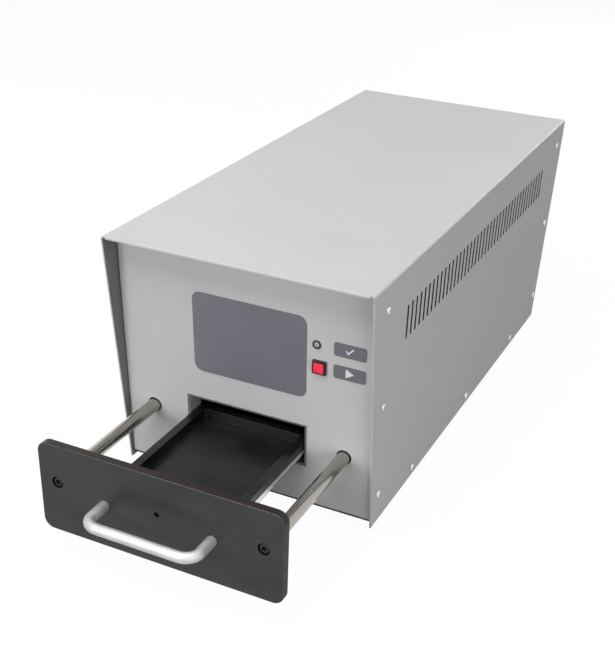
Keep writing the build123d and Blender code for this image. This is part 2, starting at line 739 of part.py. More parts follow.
# Rod screws, socket heads sunk in the drawer front
pocket_floor = plate_front + ROD_SCREW_POCKET_DEPTH
with BuildPart() as rod_screws:
    with BuildSketch(cross_plane(pocket_floor)):
        with Locations((0, rod_z)):
            with GridLocations(2 * rod_x, 0, 2, 1):
                Circle(ROD_SCREW_HEAD / 2)
    extrude(amount=ROD_SCREW_HEAD_HEIGHT)
    with BuildSketch(cross_plane(pocket_floor - ROD_SCREW_HEAD_HEIGHT)):
        with Locations((0, rod_z)):
            with GridLocations(2 * rod_x, 0, 2, 1):
                RegularPolygon(ROD_SCREW_SOCKET / 2, 6)
    extrude(amount=-ROD_SCREW_HEAD_HEIGHT / 2, mode=Mode.SUBTRACT)
rod_screws.part.label = "rod_screws"
export_step(rod_screws.part, "parts/rod_screws.step")

# Collars near the rods' rear ends, which stop the drawer against the guides
with BuildPart() as rod_collars:
    with BuildSketch(cross_plane(collar_front)):
        with Locations((0, rod_z)):
            with GridLocations(2 * rod_x, 0, 2, 1):
                Circle(COLLAR_DIAMETER / 2)
                Circle(ROD_DIAMETER / 2 + COLLAR_FIT, mode=Mode.SUBTRACT)
    extrude(amount=-COLLAR_LENGTH)
rod_collars.part.label = "rod_collars"
export_step(rod_collars.part, "parts/rod_collars.step")

# Media tray: laminate board with a pocket, grooved along both edges for the slide strips
pocket_middle = plate_back + POCKET_FRONT + POCKET_LENGTH / 2
slide_z = tray_bottom + SLIDE_RAISE + SLIDE_HEIGHT / 2
slide_x = tray_width / 2 - SLIDE_DEPTH
with BuildPart() as media_tray:
    with BuildSketch(Plane.XY.offset(tray_bottom)):
        with Locations((0, (plate_back + tray_rear) / 2)):
            Rectangle(tray_width, tray_length)
    extrude(amount=TRAY_THICKNESS)
    with BuildSketch(Plane.XY.offset(tray_top)):
        with Locations((0, pocket_middle)):
            RectangleRounded(POCKET_WIDTH, POCKET_LENGTH, POCKET_RADIUS)
    extrude(amount=-POCKET_DEPTH, mode=Mode.SUBTRACT)
    with BuildSketch(cross_plane(plate_back)):
        with Locations((slide_x + SLIDE_DEPTH / 2, slide_z), (-slide_x - SLIDE_DEPTH / 2, slide_z)):
            Rectangle(SLIDE_DEPTH, SLIDE_HEIGHT)
    extrude(amount=-tray_length, mode=Mode.SUBTRACT)
    with BuildSketch(cross_plane(plate_back)):
        with Locations((0, rod_z)):
            Circle(STUD_DIAMETER / 2 + PIN_PLAY)
    extrude(amount=-STUD_GRIP - PIN_PLAY, mode=Mode.SUBTRACT)
media_tray.part.label = "media_tray"
export_step(media_tray.part, "parts/media_tray.step")

# Slide strips in the tray's edges, standing a little proud
with BuildPart() as tray_slides:
    strip_middle = slide_x + (SLIDE_DEPTH + SLIDE_PROUD) / 2
    with BuildSketch(cross_plane(plate_back)):
        with Locations((strip_middle, slide_z), (-strip_middle, slide_z)):
            Rectangle(SLIDE_DEPTH + SLIDE_PROUD, SLIDE_HEIGHT)
    extrude(amount=-tray_length)
tray_slides.part.label = "tray_slides"
export_step(tray_slides.part, "parts/tray_slides.step")

# Stud through the drawer front's small middle hole into the tray
with BuildPart() as tray_stud:
    with BuildSketch(cross_plane(plate_front + STUD_SET_BACK)):
        with Locations((0, rod_z)):
            Circle(STUD_DIAMETER / 2)
    extrude(amount=-(PLATE_THICKNESS - STUD_SET_BACK) - STUD_GRIP)
tray_stud.part.label = "tray_stud"
export_step(tray_stud.part, "parts/tray_stud.step")

# Drawer switch on a folded post, where the left rod's end arrives when the drawer shuts
rod_rear_shut = rod_rear + DRAWER_TRAVEL
switch_front = rod_rear_shut + DRAWER_SWITCH_GAP + DRAWER_SWITCH_PLUNGER
post_front = switch_front + DRAWER_SWITCH_DEPTH
with BuildPart() as drawer_switch:
    with BuildSketch(cross_plane(switch_front)):
        with Locations((-rod_x, rod_z)):
            Rectangle(DRAWER_SWITCH_WIDTH, DRAWER_SWITCH_HEIGHT)
    extrude(amount=-DRAWER_SWITCH_DEPTH)
    with BuildSketch(cross_plane(switch_front)):
        with Locations((-rod_x, rod_z)):
            Rectangle(DRAWER_SWITCH_PLUNGER, DRAWER_SWITCH_PLUNGER)
    extrude(amount=DRAWER_SWITCH_PLUNGER)
drawer_switch.part.label = "drawer_switch"
export_step(drawer_switch.part, "parts/drawer_switch.step")

with BuildPart() as switch_post:
    with BuildSketch(Plane.YZ.offset(-rod_x)):
        Polygon(
            (post_front, base_top),
            (post_front + SWITCH_POST_FOOT, base_top),
            (post_front + SWITCH_POST_FOOT, base_top + SWITCH_POST_SHEET),
            (post_front + SWITCH_POST_SHEET, base_top + SWITCH_POST_SHEET),
            (post_front + SWITCH_POST_SHEET, rod_z + DRAWER_SWITCH_HEIGHT / 2),
            (post_front, rod_z + DRAWER_SWITCH_HEIGHT / 2),
        )
    extrude(amount=SWITCH_POST_WIDTH / 2, both=True)
switch_post.part.label = "switch_post"
export_step(switch_post.part, "parts/switch_post.step")

# Capacitor bank between the rods: box cases on the base pan, each with two hexagonal terminals
bank_middle = bank_front + bank_length / 2
can_pitch = CAN_LENGTH + CAN_GAP
with BuildPart() as capacitors:
    with BuildSketch(Plane.XY.offset(base_top)) as cases:
        with Locations((0, bank_middle)):
            with GridLocations(0, can_pitch, 1, CAN_COUNT):
                Rectangle(bank_width, CAN_LENGTH)
        chamfer(cases.vertices(), CAN_CHAMFER)
    extrude(amount=can_top - base_top)
    with BuildSketch(Plane.XY.offset(can_top)):
        with Locations((0, bank_middle)):
            with GridLocations(POST_SPACING, can_pitch, 2, CAN_COUNT):
                RegularPolygon(POST_WIDTH / 2, 6)
    extrude(amount=POST_HEIGHT)
capacitors.part.label = "capacitors"
export_step(capacitors.part, "parts/capacitors.step")

# Cradle round the feet of the capacitors
with BuildPart() as capacitor_cradle:
    with BuildSketch(Plane.XY.offset(base_top)):
        with Locations((0, bank_middle)):
            Rectangle(bank_width + 2 * CRADLE_BORDER, bank_length + 2 * CRADLE_BORDER)
            Rectangle(bank_width + 2 * CRADLE_FIT, bank_length + 2 * CRADLE_FIT, mode=Mode.SUBTRACT)
    extrude(amount=CRADLE_HEIGHT)
capacitor_cradle.part.label = "capacitor_cradle"
export_step(capacitor_cradle.part, "parts/capacitor_cradle.step")

# Bus bars along the two rows of terminals
bus_length = (CAN_COUNT - 1) * can_pitch + BUS_WIDTH
with BuildPart() as bus_bars:
    with BuildSketch(Plane.XY.offset(post_top)):
        with Locations((0, bank_middle)):
            with GridLocations(POST_SPACING, 0, 2, 1):
                Rectangle(BUS_WIDTH, bus_length)
    extrude(amount=BUS_THICKNESS)
bus_bars.part.label = "bus_bars"
export_step(bus_bars.part, "parts/bus_bars.step")

# Coil leads: copper straps from the coil's rear flange, up and over to the front ends of the bus bars
lead_top = bus_top + LEAD_RISE
lead_end = bank_front + CAN_LENGTH / 2
with BuildPart() as coil_leads:
    for lead_x in (-POST_SPACING / 2, POST_SPACING / 2):
        with BuildSketch(Plane.YZ.offset(lead_x)):
            Polygon(
                (former_rear, flange_top - LEAD_RISE),
                (former_rear, lead_top),
                (lead_end + LEAD_THICKNESS, lead_top),
                (lead_end + LEAD_THICKNESS, bus_top),
                (lead_end, bus_top),
                (lead_end, lead_top - LEAD_THICKNESS),
                (former_rear + LEAD_THICKNESS, lead_top - LEAD_THICKNESS),
                (former_rear + LEAD_THICKNESS, flange_top - LEAD_RISE),
            )
        extrude(amount=LEAD_WIDTH / 2, both=True)
coil_leads.part.label = "coil_leads"
export_step(coil_leads.part, "parts/coil_leads.step")

# Heatsink with its fins down, and the thyristor module on it
sink_front = rear_bay + SINK_GAP
sink_middle = sink_front + SINK_LENGTH / 2
sink_top = base_top + SINK_HEIGHT
with BuildPart() as heatsink:
    with BuildSketch(cross_plane(sink_front)):
        with Locations((SINK_X, sink_top - SINK_PLATE / 2)):
            Rectangle(SINK_WIDTH, SINK_PLATE)
        fin_pitch = (SINK_WIDTH - SINK_FIN) / (SINK_FIN_COUNT - 1)
        with Locations((SINK_X, base_top + SINK_HEIGHT / 2)):
            with GridLocations(fin_pitch, 0, SINK_FIN_COUNT, 1):
                Rectangle(SINK_FIN, SINK_HEIGHT)
    extrude(amount=-SINK_LENGTH)
heatsink.part.label = "heatsink"
export_step(heatsink.part, "parts/heatsink.step")

with BuildPart() as thyristor:
    with BuildSketch(Plane.XY.offset(sink_top)):
        with Locations((SINK_X, sink_middle)):
            Rectangle(MODULE_WIDTH, MODULE_LENGTH)
    extrude(amount=MODULE_HEIGHT - MODULE_STEP)
    with BuildSketch(Plane.XY.offset(sink_top + MODULE_HEIGHT - MODULE_STEP)):
        with Locations((SINK_X, sink_middle)):
            with GridLocations(0, MODULE_TAB_PITCH, 1, 3):
                Rectangle(MODULE_TAB, MODULE_TAB)
    extrude(amount=MODULE_STEP)
thyristor.part.label = "thyristor"
export_step(thyristor.part, "parts/thyristor.step")

# Bleed resistors in flanged cases, flat on the base pan behind the heatsink
resistor_front = sink_front + SINK_LENGTH + SINK_GAP / 2
with BuildPart() as bleed_resistors:
    with BuildSketch(cross_plane(resistor_front)):
        with Locations((SINK_X, base_top + RESISTOR_FLANGE_THICKNESS / 2)):
            with GridLocations(RESISTOR_PITCH, 0, 2, 1):
                Rectangle(RESISTOR_FLANGE, RESISTOR_FLANGE_THICKNESS)
        with Locations((SINK_X, base_top + RESISTOR_HEIGHT / 2)):
            with GridLocations(RESISTOR_PITCH, 0, 2, 1):
                Rectangle(RESISTOR_WIDTH, RESISTOR_HEIGHT)
    extrude(amount=-RESISTOR_LENGTH)
bleed_resistors.part.label = "bleed_resistors"
export_step(bleed_resistors.part, "parts/bleed_resistors.step")

# Charging transformer: laminated shell core, its winding, and the clamping frame
core_front = rear_bay + TRANSFORMER_GAP
core_base = base_top + FRAME_SHEET
core_middle_z = core_base + CORE_HEIGHT / 2
window_height = CORE_HEIGHT - 2 * CORE_LEG
window_width = (CORE_WIDTH - 4 * CORE_LEG) / 2
with BuildPart() as transformer_core:
    with BuildSketch(cross_plane(core_front)):
        with Locations((TRANSFORMER_X, core_middle_z)):
            Rectangle(CORE_WIDTH, CORE_HEIGHT)
            with GridLocations(2 * CORE_LEG + window_width, 0, 2, 1):
                Rectangle(window_width, window_height, mode=Mode.SUBTRACT)
    extrude(amount=-CORE_STACK)
transformer_core.part.label = "transformer_core"
export_step(transformer_core.part, "parts/transformer_core.step")

with BuildPart() as transformer_winding:
    reach = window_width - TRANSFORMER_COIL_FIT
    with BuildSketch(Plane.XY.offset(core_middle_z - window_height / 2 + TRANSFORMER_COIL_FIT)) as turns:
        with Locations((TRANSFORMER_X, core_front + CORE_STACK / 2)):
            Rectangle(2 * (CORE_LEG + reach), CORE_STACK + 2 * TRANSFORMER_COIL_PROUD)
        chamfer(turns.vertices(), TRANSFORMER_COIL_CORNER)
        with Locations((TRANSFORMER_X, core_front + CORE_STACK / 2)):
            Rectangle(
                2 * (CORE_LEG + TRANSFORMER_COIL_FIT),
                CORE_STACK + 2 * TRANSFORMER_COIL_FIT,
                mode=Mode.SUBTRACT,
            )
    extrude(amount=window_height - 2 * TRANSFORMER_COIL_FIT)
transformer_winding.part.label = "transformer_winding"
export_step(transformer_winding.part, "parts/transformer_winding.step")

with BuildPart() as transformer_frame:
    with BuildSketch(cross_plane(core_front)):
        with Locations((TRANSFORMER_X, base_top + FRAME_SHEET / 2)):
            Rectangle(CORE_WIDTH + 2 * FRAME_SHEET + 2 * FRAME_FOOT, FRAME_SHEET)
        with Locations((TRANSFORMER_X, base_top + (CORE_HEIGHT + 2 * FRAME_SHEET) / 2)):
            Rectangle(CORE_WIDTH + 2 * FRAME_SHEET, CORE_HEIGHT + 2 * FRAME_SHEET)
        with Locations((TRANSFORMER_X, core_middle_z)):
            Rectangle(CORE_WIDTH, CORE_HEIGHT, mode=Mode.SUBTRACT)
    extrude(amount=-CORE_STACK)
transformer_frame.part.label = "transformer_frame"
export_step(transformer_frame.part, "parts/transformer_frame.step")

# Control shelf, folded down at both ends over the coil's flanges, with the board on spacers
shelf_front = flange_steps[0]
shelf_rear = flange_steps[1] + COIL_FLANGE
shelf_middle = (shelf_front + shelf_rear) / 2
board_width = former_width - 2 * BOARD_MARGIN
board_length = shelf_rear - shelf_front - 2 * BOARD_END_MARGIN
board_z = flange_top + SHELF_SHEET + SPACER_HEIGHT
board_face = board_z + BOARD_THICKNESS
with BuildPart() as control_shelf:
    with BuildSketch(Plane.YZ):
        with Locations((shelf_middle, flange_top + SHELF_SHEET / 2)):
            Rectangle(shelf_rear - shelf_front + 2 * SHELF_SHEET, SHELF_SHEET)
        for lip_y in (shelf_front - SHELF_SHEET / 2, shelf_rear + SHELF_SHEET / 2):
            with Locations((lip_y, flange_top + SHELF_SHEET - SHELF_LIP / 2)):
                Rectangle(SHELF_SHEET, SHELF_LIP)
    extrude(amount=board_width / 2, both=True)
    with BuildSketch(Plane.XY.offset(flange_top)):
        with Locations((0, shelf_rear)):
            with GridLocations(POST_SPACING, 0, 2, 1):
                Rectangle(LEAD_WIDTH + 2 * LEAD_SLOT_PLAY, 2 * (LEAD_THICKNESS + LEAD_SLOT_PLAY))
    extrude(amount=SHELF_LIP, both=True, mode=Mode.SUBTRACT)
control_shelf.part.label = "control_shelf"
export_step(control_shelf.part, "parts/control_shelf.step")

with BuildPart() as board_spacers:
    with BuildSketch(Plane.XY.offset(flange_top + SHELF_SHEET)):
        with Locations((0, shelf_middle)):
            with GridLocations(board_width - 2 * SPACER_INSET, board_length - 2 * SPACER_INSET, 2, 2):
                RegularPolygon(SPACER_WIDTH / 2, 6)
    extrude(amount=SPACER_HEIGHT)
board_spacers.part.label = "board_spacers"
export_step(board_spacers.part, "parts/board_spacers.step")

with BuildPart() as control_board:
    with BuildSketch(Plane.XY.offset(board_z)):
        with Locations((0, shelf_middle)):
            Rectangle(board_width, board_length)
    extrude(amount=BOARD_THICKNESS)
control_board.part.label = "control_board"
export_step(control_board.part, "parts/control_board.step")

with BuildPart() as board_parts:
    with BuildSketch(Plane.XY.offset(board_face)):
        with Locations((0, shelf_middle)):
            with GridLocations(board_width / 2, 0, 2, 1):
                Rectangle(RELAY_SIDE, RELAY_SIDE)
    extrude(amount=RELAY_HEIGHT)
    with BuildSketch(Plane.XY.offset(board_face)):
        with Locations((0, shelf_middle - board_length / 2 + BLOCK_DEPTH)):
            Rectangle(BLOCK_LENGTH, BLOCK_DEPTH)
    extrude(amount=BLOCK_HEIGHT)
board_parts.part.label = "board_parts"
export_step(board_parts.part, "parts/board_parts.step")

# Fan: square frame with its motor plate on four struts, and a rotor of pitched blades
fan_face = rear_plane(FAN_X, fan_z)
fan_plane = fan_face.offset(-CHASSIS_SHEET * cos(radians(PANEL_TILT)))
hub_plane = fan_plane.offset(-FAN_DEPTH + FAN_RUNNING_GAP)
with BuildPart() as fan_frame:
    with BuildSketch(fan_plane) as housing:
        Rectangle(FAN_SIDE, FAN_SIDE)
        chamfer(housing.vertices(), FAN_CORNER)
        Circle(FAN_DUCT / 2, mode=Mode.SUBTRACT)
    extrude(amount=-FAN_DEPTH)
    with BuildSketch(fan_plane.offset(-FAN_DEPTH)):
        Rectangle(FAN_HUB, FAN_HUB)
        Rectangle(FAN_SIDE, FAN_STRUT)
        Rectangle(FAN_STRUT, FAN_SIDE)
        Circle(FAN_SHAFT / 2 + ROD_RUNNING_FIT, mode=Mode.SUBTRACT)
    extrude(amount=-FAN_MOTOR_PLATE)
fan_frame.part.label = "fan_frame"
export_step(fan_frame.part, "parts/fan_frame.step")


def blade_root(angle):
    """Plane across a blade's root at this angle, facing outwards, X along the fan's axis."""
    turn = radians(angle)
    middle = hub_plane.offset(FAN_HUB_LENGTH / 2)
    out = middle.x_dir * cos(turn) + middle.y_dir * sin(turn)
    radius = FAN_HUB / 2 - 2 * BLADE_THICKNESS
    return Plane(origin=middle.origin + out * radius, x_dir=middle.z_dir, z_dir=out)


blade_length = (FAN_DUCT - FAN_HUB) / 2 - FAN_TIP_GAP + 2 * BLADE_THICKNESS
with BuildPart() as fan_rotor:
    with BuildSketch(hub_plane):
        Circle(FAN_HUB / 2)
    extrude(amount=FAN_HUB_LENGTH)
    for index in range(FAN_BLADES):
        with BuildSketch(blade_root(360 * index / FAN_BLADES)):
            Rectangle(BLADE_THICKNESS, BLADE_CHORD, rotation=BLADE_PITCH)
        extrude(amount=blade_length)
    with BuildSketch(hub_plane):
        Circle(FAN_SHAFT / 2)
    extrude(amount=-FAN_SHAFT_LENGTH)
fan_rotor.part.label = "fan_rotor"
export_step(fan_rotor.part, "parts/fan_rotor.step")

# Heads of the fan's screws, round its grille
with BuildPart() as fan_screws:
    for seat in GridLocations(FAN_BOLT_PITCH, FAN_BOLT_PITCH, 2, 2):
        with BuildSketch(fan_face):
            with Locations(seat):
                RegularPolygon(SCREW_HEAD / 2, SCREW_HEAD_SIDES)
        extrude(amount=SCREW_HEAD_HEIGHT)
fan_screws.part.label = "fan_screws"
export_step(fan_screws.part, "parts/fan_screws.step")

# Mains inlet: snap-in socket with its three pins
inlet_plane = rear_plane(INLET_X, inlet_z)
inlet_face = inlet_plane.offset(INLET_FLANGE_THICKNESS)
with BuildPart() as mains_inlet:
    with BuildSketch(inlet_plane):
        Rectangle(INLET_FLANGE_WIDTH, INLET_FLANGE_HEIGHT)
    extrude(amount=INLET_FLANGE_THICKNESS)
    with BuildSketch(inlet_plane):
        Rectangle(INLET_BODY_WIDTH, INLET_BODY_HEIGHT)
    extrude(amount=-INLET_BODY_DEPTH)
    with BuildSketch(inlet_face) as cavity:
        Rectangle(INLET_BODY_WIDTH - 2 * INLET_WALL, INLET_BODY_HEIGHT - 2 * INLET_WALL)
        chamfer(cavity.vertices().group_by(Axis.Y)[-1], INLET_CHAMFER)
    extrude(amount=-INLET_CAVITY_DEPTH, mode=Mode.SUBTRACT)
    with BuildSketch(inlet_face.offset(-INLET_CAVITY_DEPTH)):
        with Locations((0, INLET_PIN_STEP / 2)):
            Rectangle(INLET_PIN_THICKNESS, INLET_PIN_WIDTH)
        with Locations((0, -INLET_PIN_STEP / 2)):
            with GridLocations(INLET_PIN_SPACING, 0, 2, 1):
                Rectangle(INLET_PIN_THICKNESS, INLET_PIN_WIDTH)
    extrude(amount=INLET_PIN_LENGTH)
mains_inlet.part.label = "mains_inlet"
export_step(mains_inlet.part, "parts/mains_inlet.step")

# Power rocker: frame with a well, and the rocker on its pin, drawn switched off
rocker_plane = rear_plane(INLET_X, rocker_z)
rocker_face = rocker_plane.offset(ROCKER_FRAME_PROUD)
pivot_plane = rocker_face.offset(-ROCKER_PIVOT_DEPTH)
rocker_axis = pivot_plane.y_dir
with BuildPart() as rocker_frame:
    with BuildSketch(rocker_plane):
        Rectangle(ROCKER_FRAME_WIDTH, ROCKER_FRAME_HEIGHT)
    extrude(amount=ROCKER_FRAME_PROUD)
    chamfer(rocker_frame.faces().sort_by(Axis.Y)[-1].edges(), ROCKER_FRAME_EDGE)
    with BuildSketch(rocker_plane):
        Rectangle(ROCKER_BODY_WIDTH, ROCKER_BODY_HEIGHT)
    extrude(amount=-ROCKER_BODY_DEPTH)
    with BuildSketch(rocker_face):
        Rectangle(ROCKER_LENGTH + 2 * ROCKER_PLAY, ROCKER_WIDTH + 2 * ROCKER_PLAY)
    extrude(amount=-ROCKER_WELL_DEPTH, mode=Mode.SUBTRACT)
    with BuildSketch(Plane(origin=pivot_plane.origin, x_dir=pivot_plane.x_dir, z_dir=rocker_axis)):
        Circle(ROCKER_PIN / 2 + ROD_RUNNING_FIT)
    extrude(amount=ROCKER_BODY_HEIGHT / 2 - ROCKER_PLAY, both=True, mode=Mode.SUBTRACT)
rocker_frame.part.label = "rocker_frame"
export_step(rocker_frame.part, "parts/rocker_frame.step")

rocker_turn = radians(ROCKER_TILT)
rocker_across = pivot_plane.x_dir * cos(rocker_turn) + pivot_plane.z_dir * sin(rocker_turn)
rocker_profile = Plane(origin=pivot_plane.origin, x_dir=rocker_across, z_dir=rocker_axis)
rocker_half = ROCKER_LENGTH / 2 * cos(rocker_turn) - ROCKER_PLAY
with BuildPart() as power_rocker:
    with BuildSketch(rocker_profile):
        with BuildLine():
            crown = ThreePointArc(
                (-rocker_half, -ROCKER_THICKNESS / 2),
                (0, -ROCKER_THICKNESS / 2 + ROCKER_DISH),
                (rocker_half, -ROCKER_THICKNESS / 2),
            )
            Polyline(crown @ 1, (rocker_half, 0), (0, ROCKER_THICKNESS / 2), (-rocker_half, 0), crown @ 0)
        make_face()
    extrude(amount=ROCKER_WIDTH / 2, both=True)
    with BuildSketch(rocker_profile):
        Circle(ROCKER_PIN / 2)
    extrude(amount=ROCKER_BODY_HEIGHT / 2 - 2 * ROCKER_PLAY, both=True)
power_rocker.part.label = "power_rocker"
export_step(power_rocker.part, "parts/power_rocker.step")
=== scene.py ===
"""Bench degausser with its drawer open: sheet-metal case, coil chamber, laminate drawer on two rods."""

import random
from math import cos, pi, radians, sin, tan

import bmesh
import bpy
from mathutils import Matrix, Vector


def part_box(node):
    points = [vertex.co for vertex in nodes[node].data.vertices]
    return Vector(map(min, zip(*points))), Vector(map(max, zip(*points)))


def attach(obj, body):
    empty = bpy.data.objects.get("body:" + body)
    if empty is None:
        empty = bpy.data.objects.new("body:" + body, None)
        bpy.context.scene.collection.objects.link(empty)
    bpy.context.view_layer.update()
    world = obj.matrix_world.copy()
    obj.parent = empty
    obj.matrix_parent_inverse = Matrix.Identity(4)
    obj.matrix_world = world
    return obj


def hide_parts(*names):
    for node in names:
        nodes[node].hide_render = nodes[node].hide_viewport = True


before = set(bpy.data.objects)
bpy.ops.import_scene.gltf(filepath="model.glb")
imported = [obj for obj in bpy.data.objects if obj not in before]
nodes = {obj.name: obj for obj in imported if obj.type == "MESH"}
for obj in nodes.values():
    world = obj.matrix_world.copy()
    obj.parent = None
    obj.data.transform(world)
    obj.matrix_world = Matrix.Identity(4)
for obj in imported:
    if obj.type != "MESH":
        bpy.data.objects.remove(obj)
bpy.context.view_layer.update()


# Base pan: the floor of the chassis, cut from steel sheet and folded up along both sides, near black as
# painted shade for the dark line under the front panel.
# The switch post, the control shelf and the transformer's frame are bent from zinc-plated sheet.
def finish(name, dark, light, grain, rough, skin, metallic=0.0, stretch=(1, 1, 1)):
    """Finish that drifts from dark to light at the scale of its grain, and from one roughness to another.

    The skin is the scale and the depth of the bump. A large stretch makes the pattern fine along that axis.
    """
    material = bpy.data.materials.new(name)
    material.use_nodes = True
    tree = material.node_tree
    shader = tree.nodes["Principled BSDF"]
    shader.inputs["Metallic"].default_value = metallic
    spot = tree.nodes.new("ShaderNodeTexCoord")
    turn = tree.nodes.new("ShaderNodeMapping")
    turn.inputs["Scale"].default_value = stretch
    drift = tree.nodes.new("ShaderNodeTexNoise")
    drift.inputs["Scale"].default_value = grain
    drift.inputs["Detail"].default_value = 5
    tint = tree.nodes.new("ShaderNodeValToRGB")
    tint.color_ramp.elements[0].position = 0.34
    tint.color_ramp.elements[1].position = 0.66
    tint.color_ramp.elements[0].color = (*dark, 1)
    tint.color_ramp.elements[1].color = (*light, 1)
    sheen = tree.nodes.new("ShaderNodeMapRange")
    sheen.inputs["From Min"].default_value = 0.3
    sheen.inputs["From Max"].default_value = 0.7
    sheen.inputs["To Min"].default_value = rough[0]
    sheen.inputs["To Max"].default_value = rough[1]
    peel = tree.nodes.new("ShaderNodeTexNoise")
    peel.inputs["Scale"].default_value = skin[0]
    peel.inputs["Detail"].default_value = 3
    bump = tree.nodes.new("ShaderNodeBump")
    bump.inputs["Distance"].default_value = skin[1]
    tree.links.new(spot.outputs["Object"], turn.inputs["Vector"])
    tree.links.new(turn.outputs["Vector"], drift.inputs["Vector"])
    tree.links.new(turn.outputs["Vector"], peel.inputs["Vector"])
    tree.links.new(drift.outputs["Fac"], tint.inputs["Fac"])
    tree.links.new(drift.outputs["Fac"], sheen.inputs["Value"])
    tree.links.new(tint.outputs["Color"], shader.inputs["Base Color"])
    tree.links.new(sheen.outputs["Result"], shader.inputs["Roughness"])
    tree.links.new(peel.outputs["Fac"], bump.inputs["Height"])
    tree.links.new(bump.outputs["Normal"], shader.inputs["Normal"])
    return material


def dress(material, *names):
    """Give CAD nodes, whose shape is right, a better material."""
    for name in names:
        nodes[name].data.materials.clear()
        nodes[name].data.materials.append(material)


zinc = finish(
    "zinc_plate", (0.5, 0.49, 0.46), (0.62, 0.61, 0.59),
    grain=60, rough=(0.28, 0.45), skin=(900, 0.00001), metallic=1.0,
)
dress(zinc, "switch_post", "control_shelf", "transformer_frame")
# Near-black painted shade: the base pan's edge under the front panel shows as a shadow line.
base_shade_sheet = finish(
    "base_pan_painted_shade", (0.016, 0.016, 0.016), (0.03, 0.03, 0.03),
    grain=60, rough=(0.4, 0.55), skin=(900, 0.00001), metallic=0.6,
)
dress(base_shade_sheet, "base_pan")


# Rear panel: folded sheet steel, powder coated light grey, leaning out at the top as the front panel does.
# The fan's grille and the openings for inlet and rocker are punched before the coating.
coat = finish(
    "case_coat", (0.545, 0.55, 0.55), (0.575, 0.58, 0.58),
    grain=7, rough=(0.46, 0.54), skin=(1100, 0.000012),
)


def tune(material, socket, value):
    """Set a value that is the same all over a finish, on its shader's own socket."""
    material.node_tree.nodes["Principled BSDF"].inputs[socket].default_value = value


tune(coat, "Specular IOR Level", 0.25)
dress(coat, "rear_panel")


# Front panel: a shallow box folded from one sheet of the same steel, its folds rounded, so a dark gap shows
# between them and the cover. Mouth, rod holes and the holes for lamp and button are punched.
cover_low, cover_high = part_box("cover")
panel_tilt = radians(2.75)
panel_recess = 0.0206


def panel_y(z):
    """Y of the front panel's outer face at height z."""
    return cover_low.y + panel_recess + (cover_high.z - z) * tan(panel_tilt)


def put_down():
    """Leave off shaping, with nothing selected."""
    if bpy.context.object and bpy.context.object.mode == "EDIT":
        bpy.ops.object.mode_set(mode="OBJECT")
    bpy.ops.object.select_all(action="DESELECT")


def take_up(piece):
    """Make one piece the only selected and active object."""
    put_down()
    bpy.context.view_layer.objects.active = piece
    piece.select_set(True)


def fix_place():
    """Put the place, turn and scale of the selected piece into its mesh."""
    bpy.ops.object.transform_apply(location=True, rotation=True, scale=True)


def block(name, middle, size, turn=(0, 0, 0)):
    """Cube brought to its size and place, ready for shaping."""
    put_down()
    bpy.ops.mesh.primitive_cube_add(size=1, location=middle, rotation=turn, scale=size)
    piece = bpy.context.object
    piece.name = name
    fix_place()
    return piece


def pick(piece, kind, wanted):
    """Open a piece for shaping, with the faces, edges or corners selected that are wanted."""
    take_up(piece)
    bpy.ops.object.mode_set(mode="EDIT")
    bpy.ops.mesh.select_mode(type=kind)
    bpy.ops.mesh.select_all(action="DESELECT")
    mesh = bmesh.from_edit_mesh(piece.data)
    mesh.normal_update()
    if kind == "FACE":
        for face in mesh.faces:
            face.select_set(wanted(face.calc_center_median(), face.normal))
    if kind == "EDGE":
        for edge in mesh.edges:
            ends = edge.verts[0].co, edge.verts[1].co
            edge.select_set(wanted((ends[0] + ends[1]) / 2, (ends[1] - ends[0]).normalized()))
    if kind == "VERT":
        for corner in mesh.verts:
            corner.select_set(wanted(corner.co, corner.normal))
    mesh.select_flush_mode()
    bmesh.update_edit_mesh(piece.data)


def bevel(width, segments):
    """Round the selected edges."""
    bpy.ops.mesh.bevel(offset=width, segments=segments, affect="EDGES")


def apply_modifiers(piece):
    """Work every modifier of a piece into its mesh."""
    take_up(piece)
    for modifier in list(piece.modifiers):
        bpy.ops.object.modifier_apply(modifier=modifier.name)


def thicken(piece, sheet, inside=0, rim=0):
    """Give a folded surface its sheet's thickness, with other finishes inside and on the rim where asked."""
    wall = piece.modifiers.new("sheet", "SOLIDIFY")
    wall.material_offset = inside
    wall.material_offset_rim = rim
    wall.thickness = sheet
    wall.offset = -1
    wall.use_even_offset = True
    apply_modifiers(piece)


def cut_away(piece, tool):
    """Take one shape out of a piece and clear the tool away."""
    cutting = piece.modifiers.new("cut", "BOOLEAN")
    cutting.object = tool
    cutting.solver = "EXACT"
    apply_modifiers(piece)
    bpy.data.objects.remove(tool)


def drill(piece, spots, radius, depth, sides=48):
    """Holes of one radius into a piece from its front, each from its spot."""
    for spot in spots:
        take_up(piece)
        bpy.ops.mesh.primitive_cylinder_add(
            vertices=sides, radius=radius, depth=2 * depth, location=spot, rotation=(pi / 2, 0, 0)
        )
        cut_away(piece, bpy.context.object)


def round_edges(piece, width, segments=2):
    """Small bevel on every sharp edge."""
    edges = piece.modifiers.new("edges", "BEVEL")
    edges.width = width
    edges.segments = segments
    edges.limit_method = "ANGLE"
    sharp = radians(40)
    edges.angle_limit = sharp


def settle(piece, body, material, angle=35):
    """Close a piece: apply its modifiers, smooth it, finish it and let it ride on its body."""
    apply_modifiers(piece)
    bpy.ops.object.shade_smooth_by_angle(angle=radians(angle))
    flat = piece.modifiers.new("flat", "WEIGHTED_NORMAL")
    flat.keep_sharp = True
    apply_modifiers(piece)
    if not piece.data.materials:
        piece.data.materials.append(material)
    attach(piece, body)


# How close to a place, or to an axis, what a pick wants has to be.
near = 0.001
hair = 0.0001
along = 0.9
across = 0.1

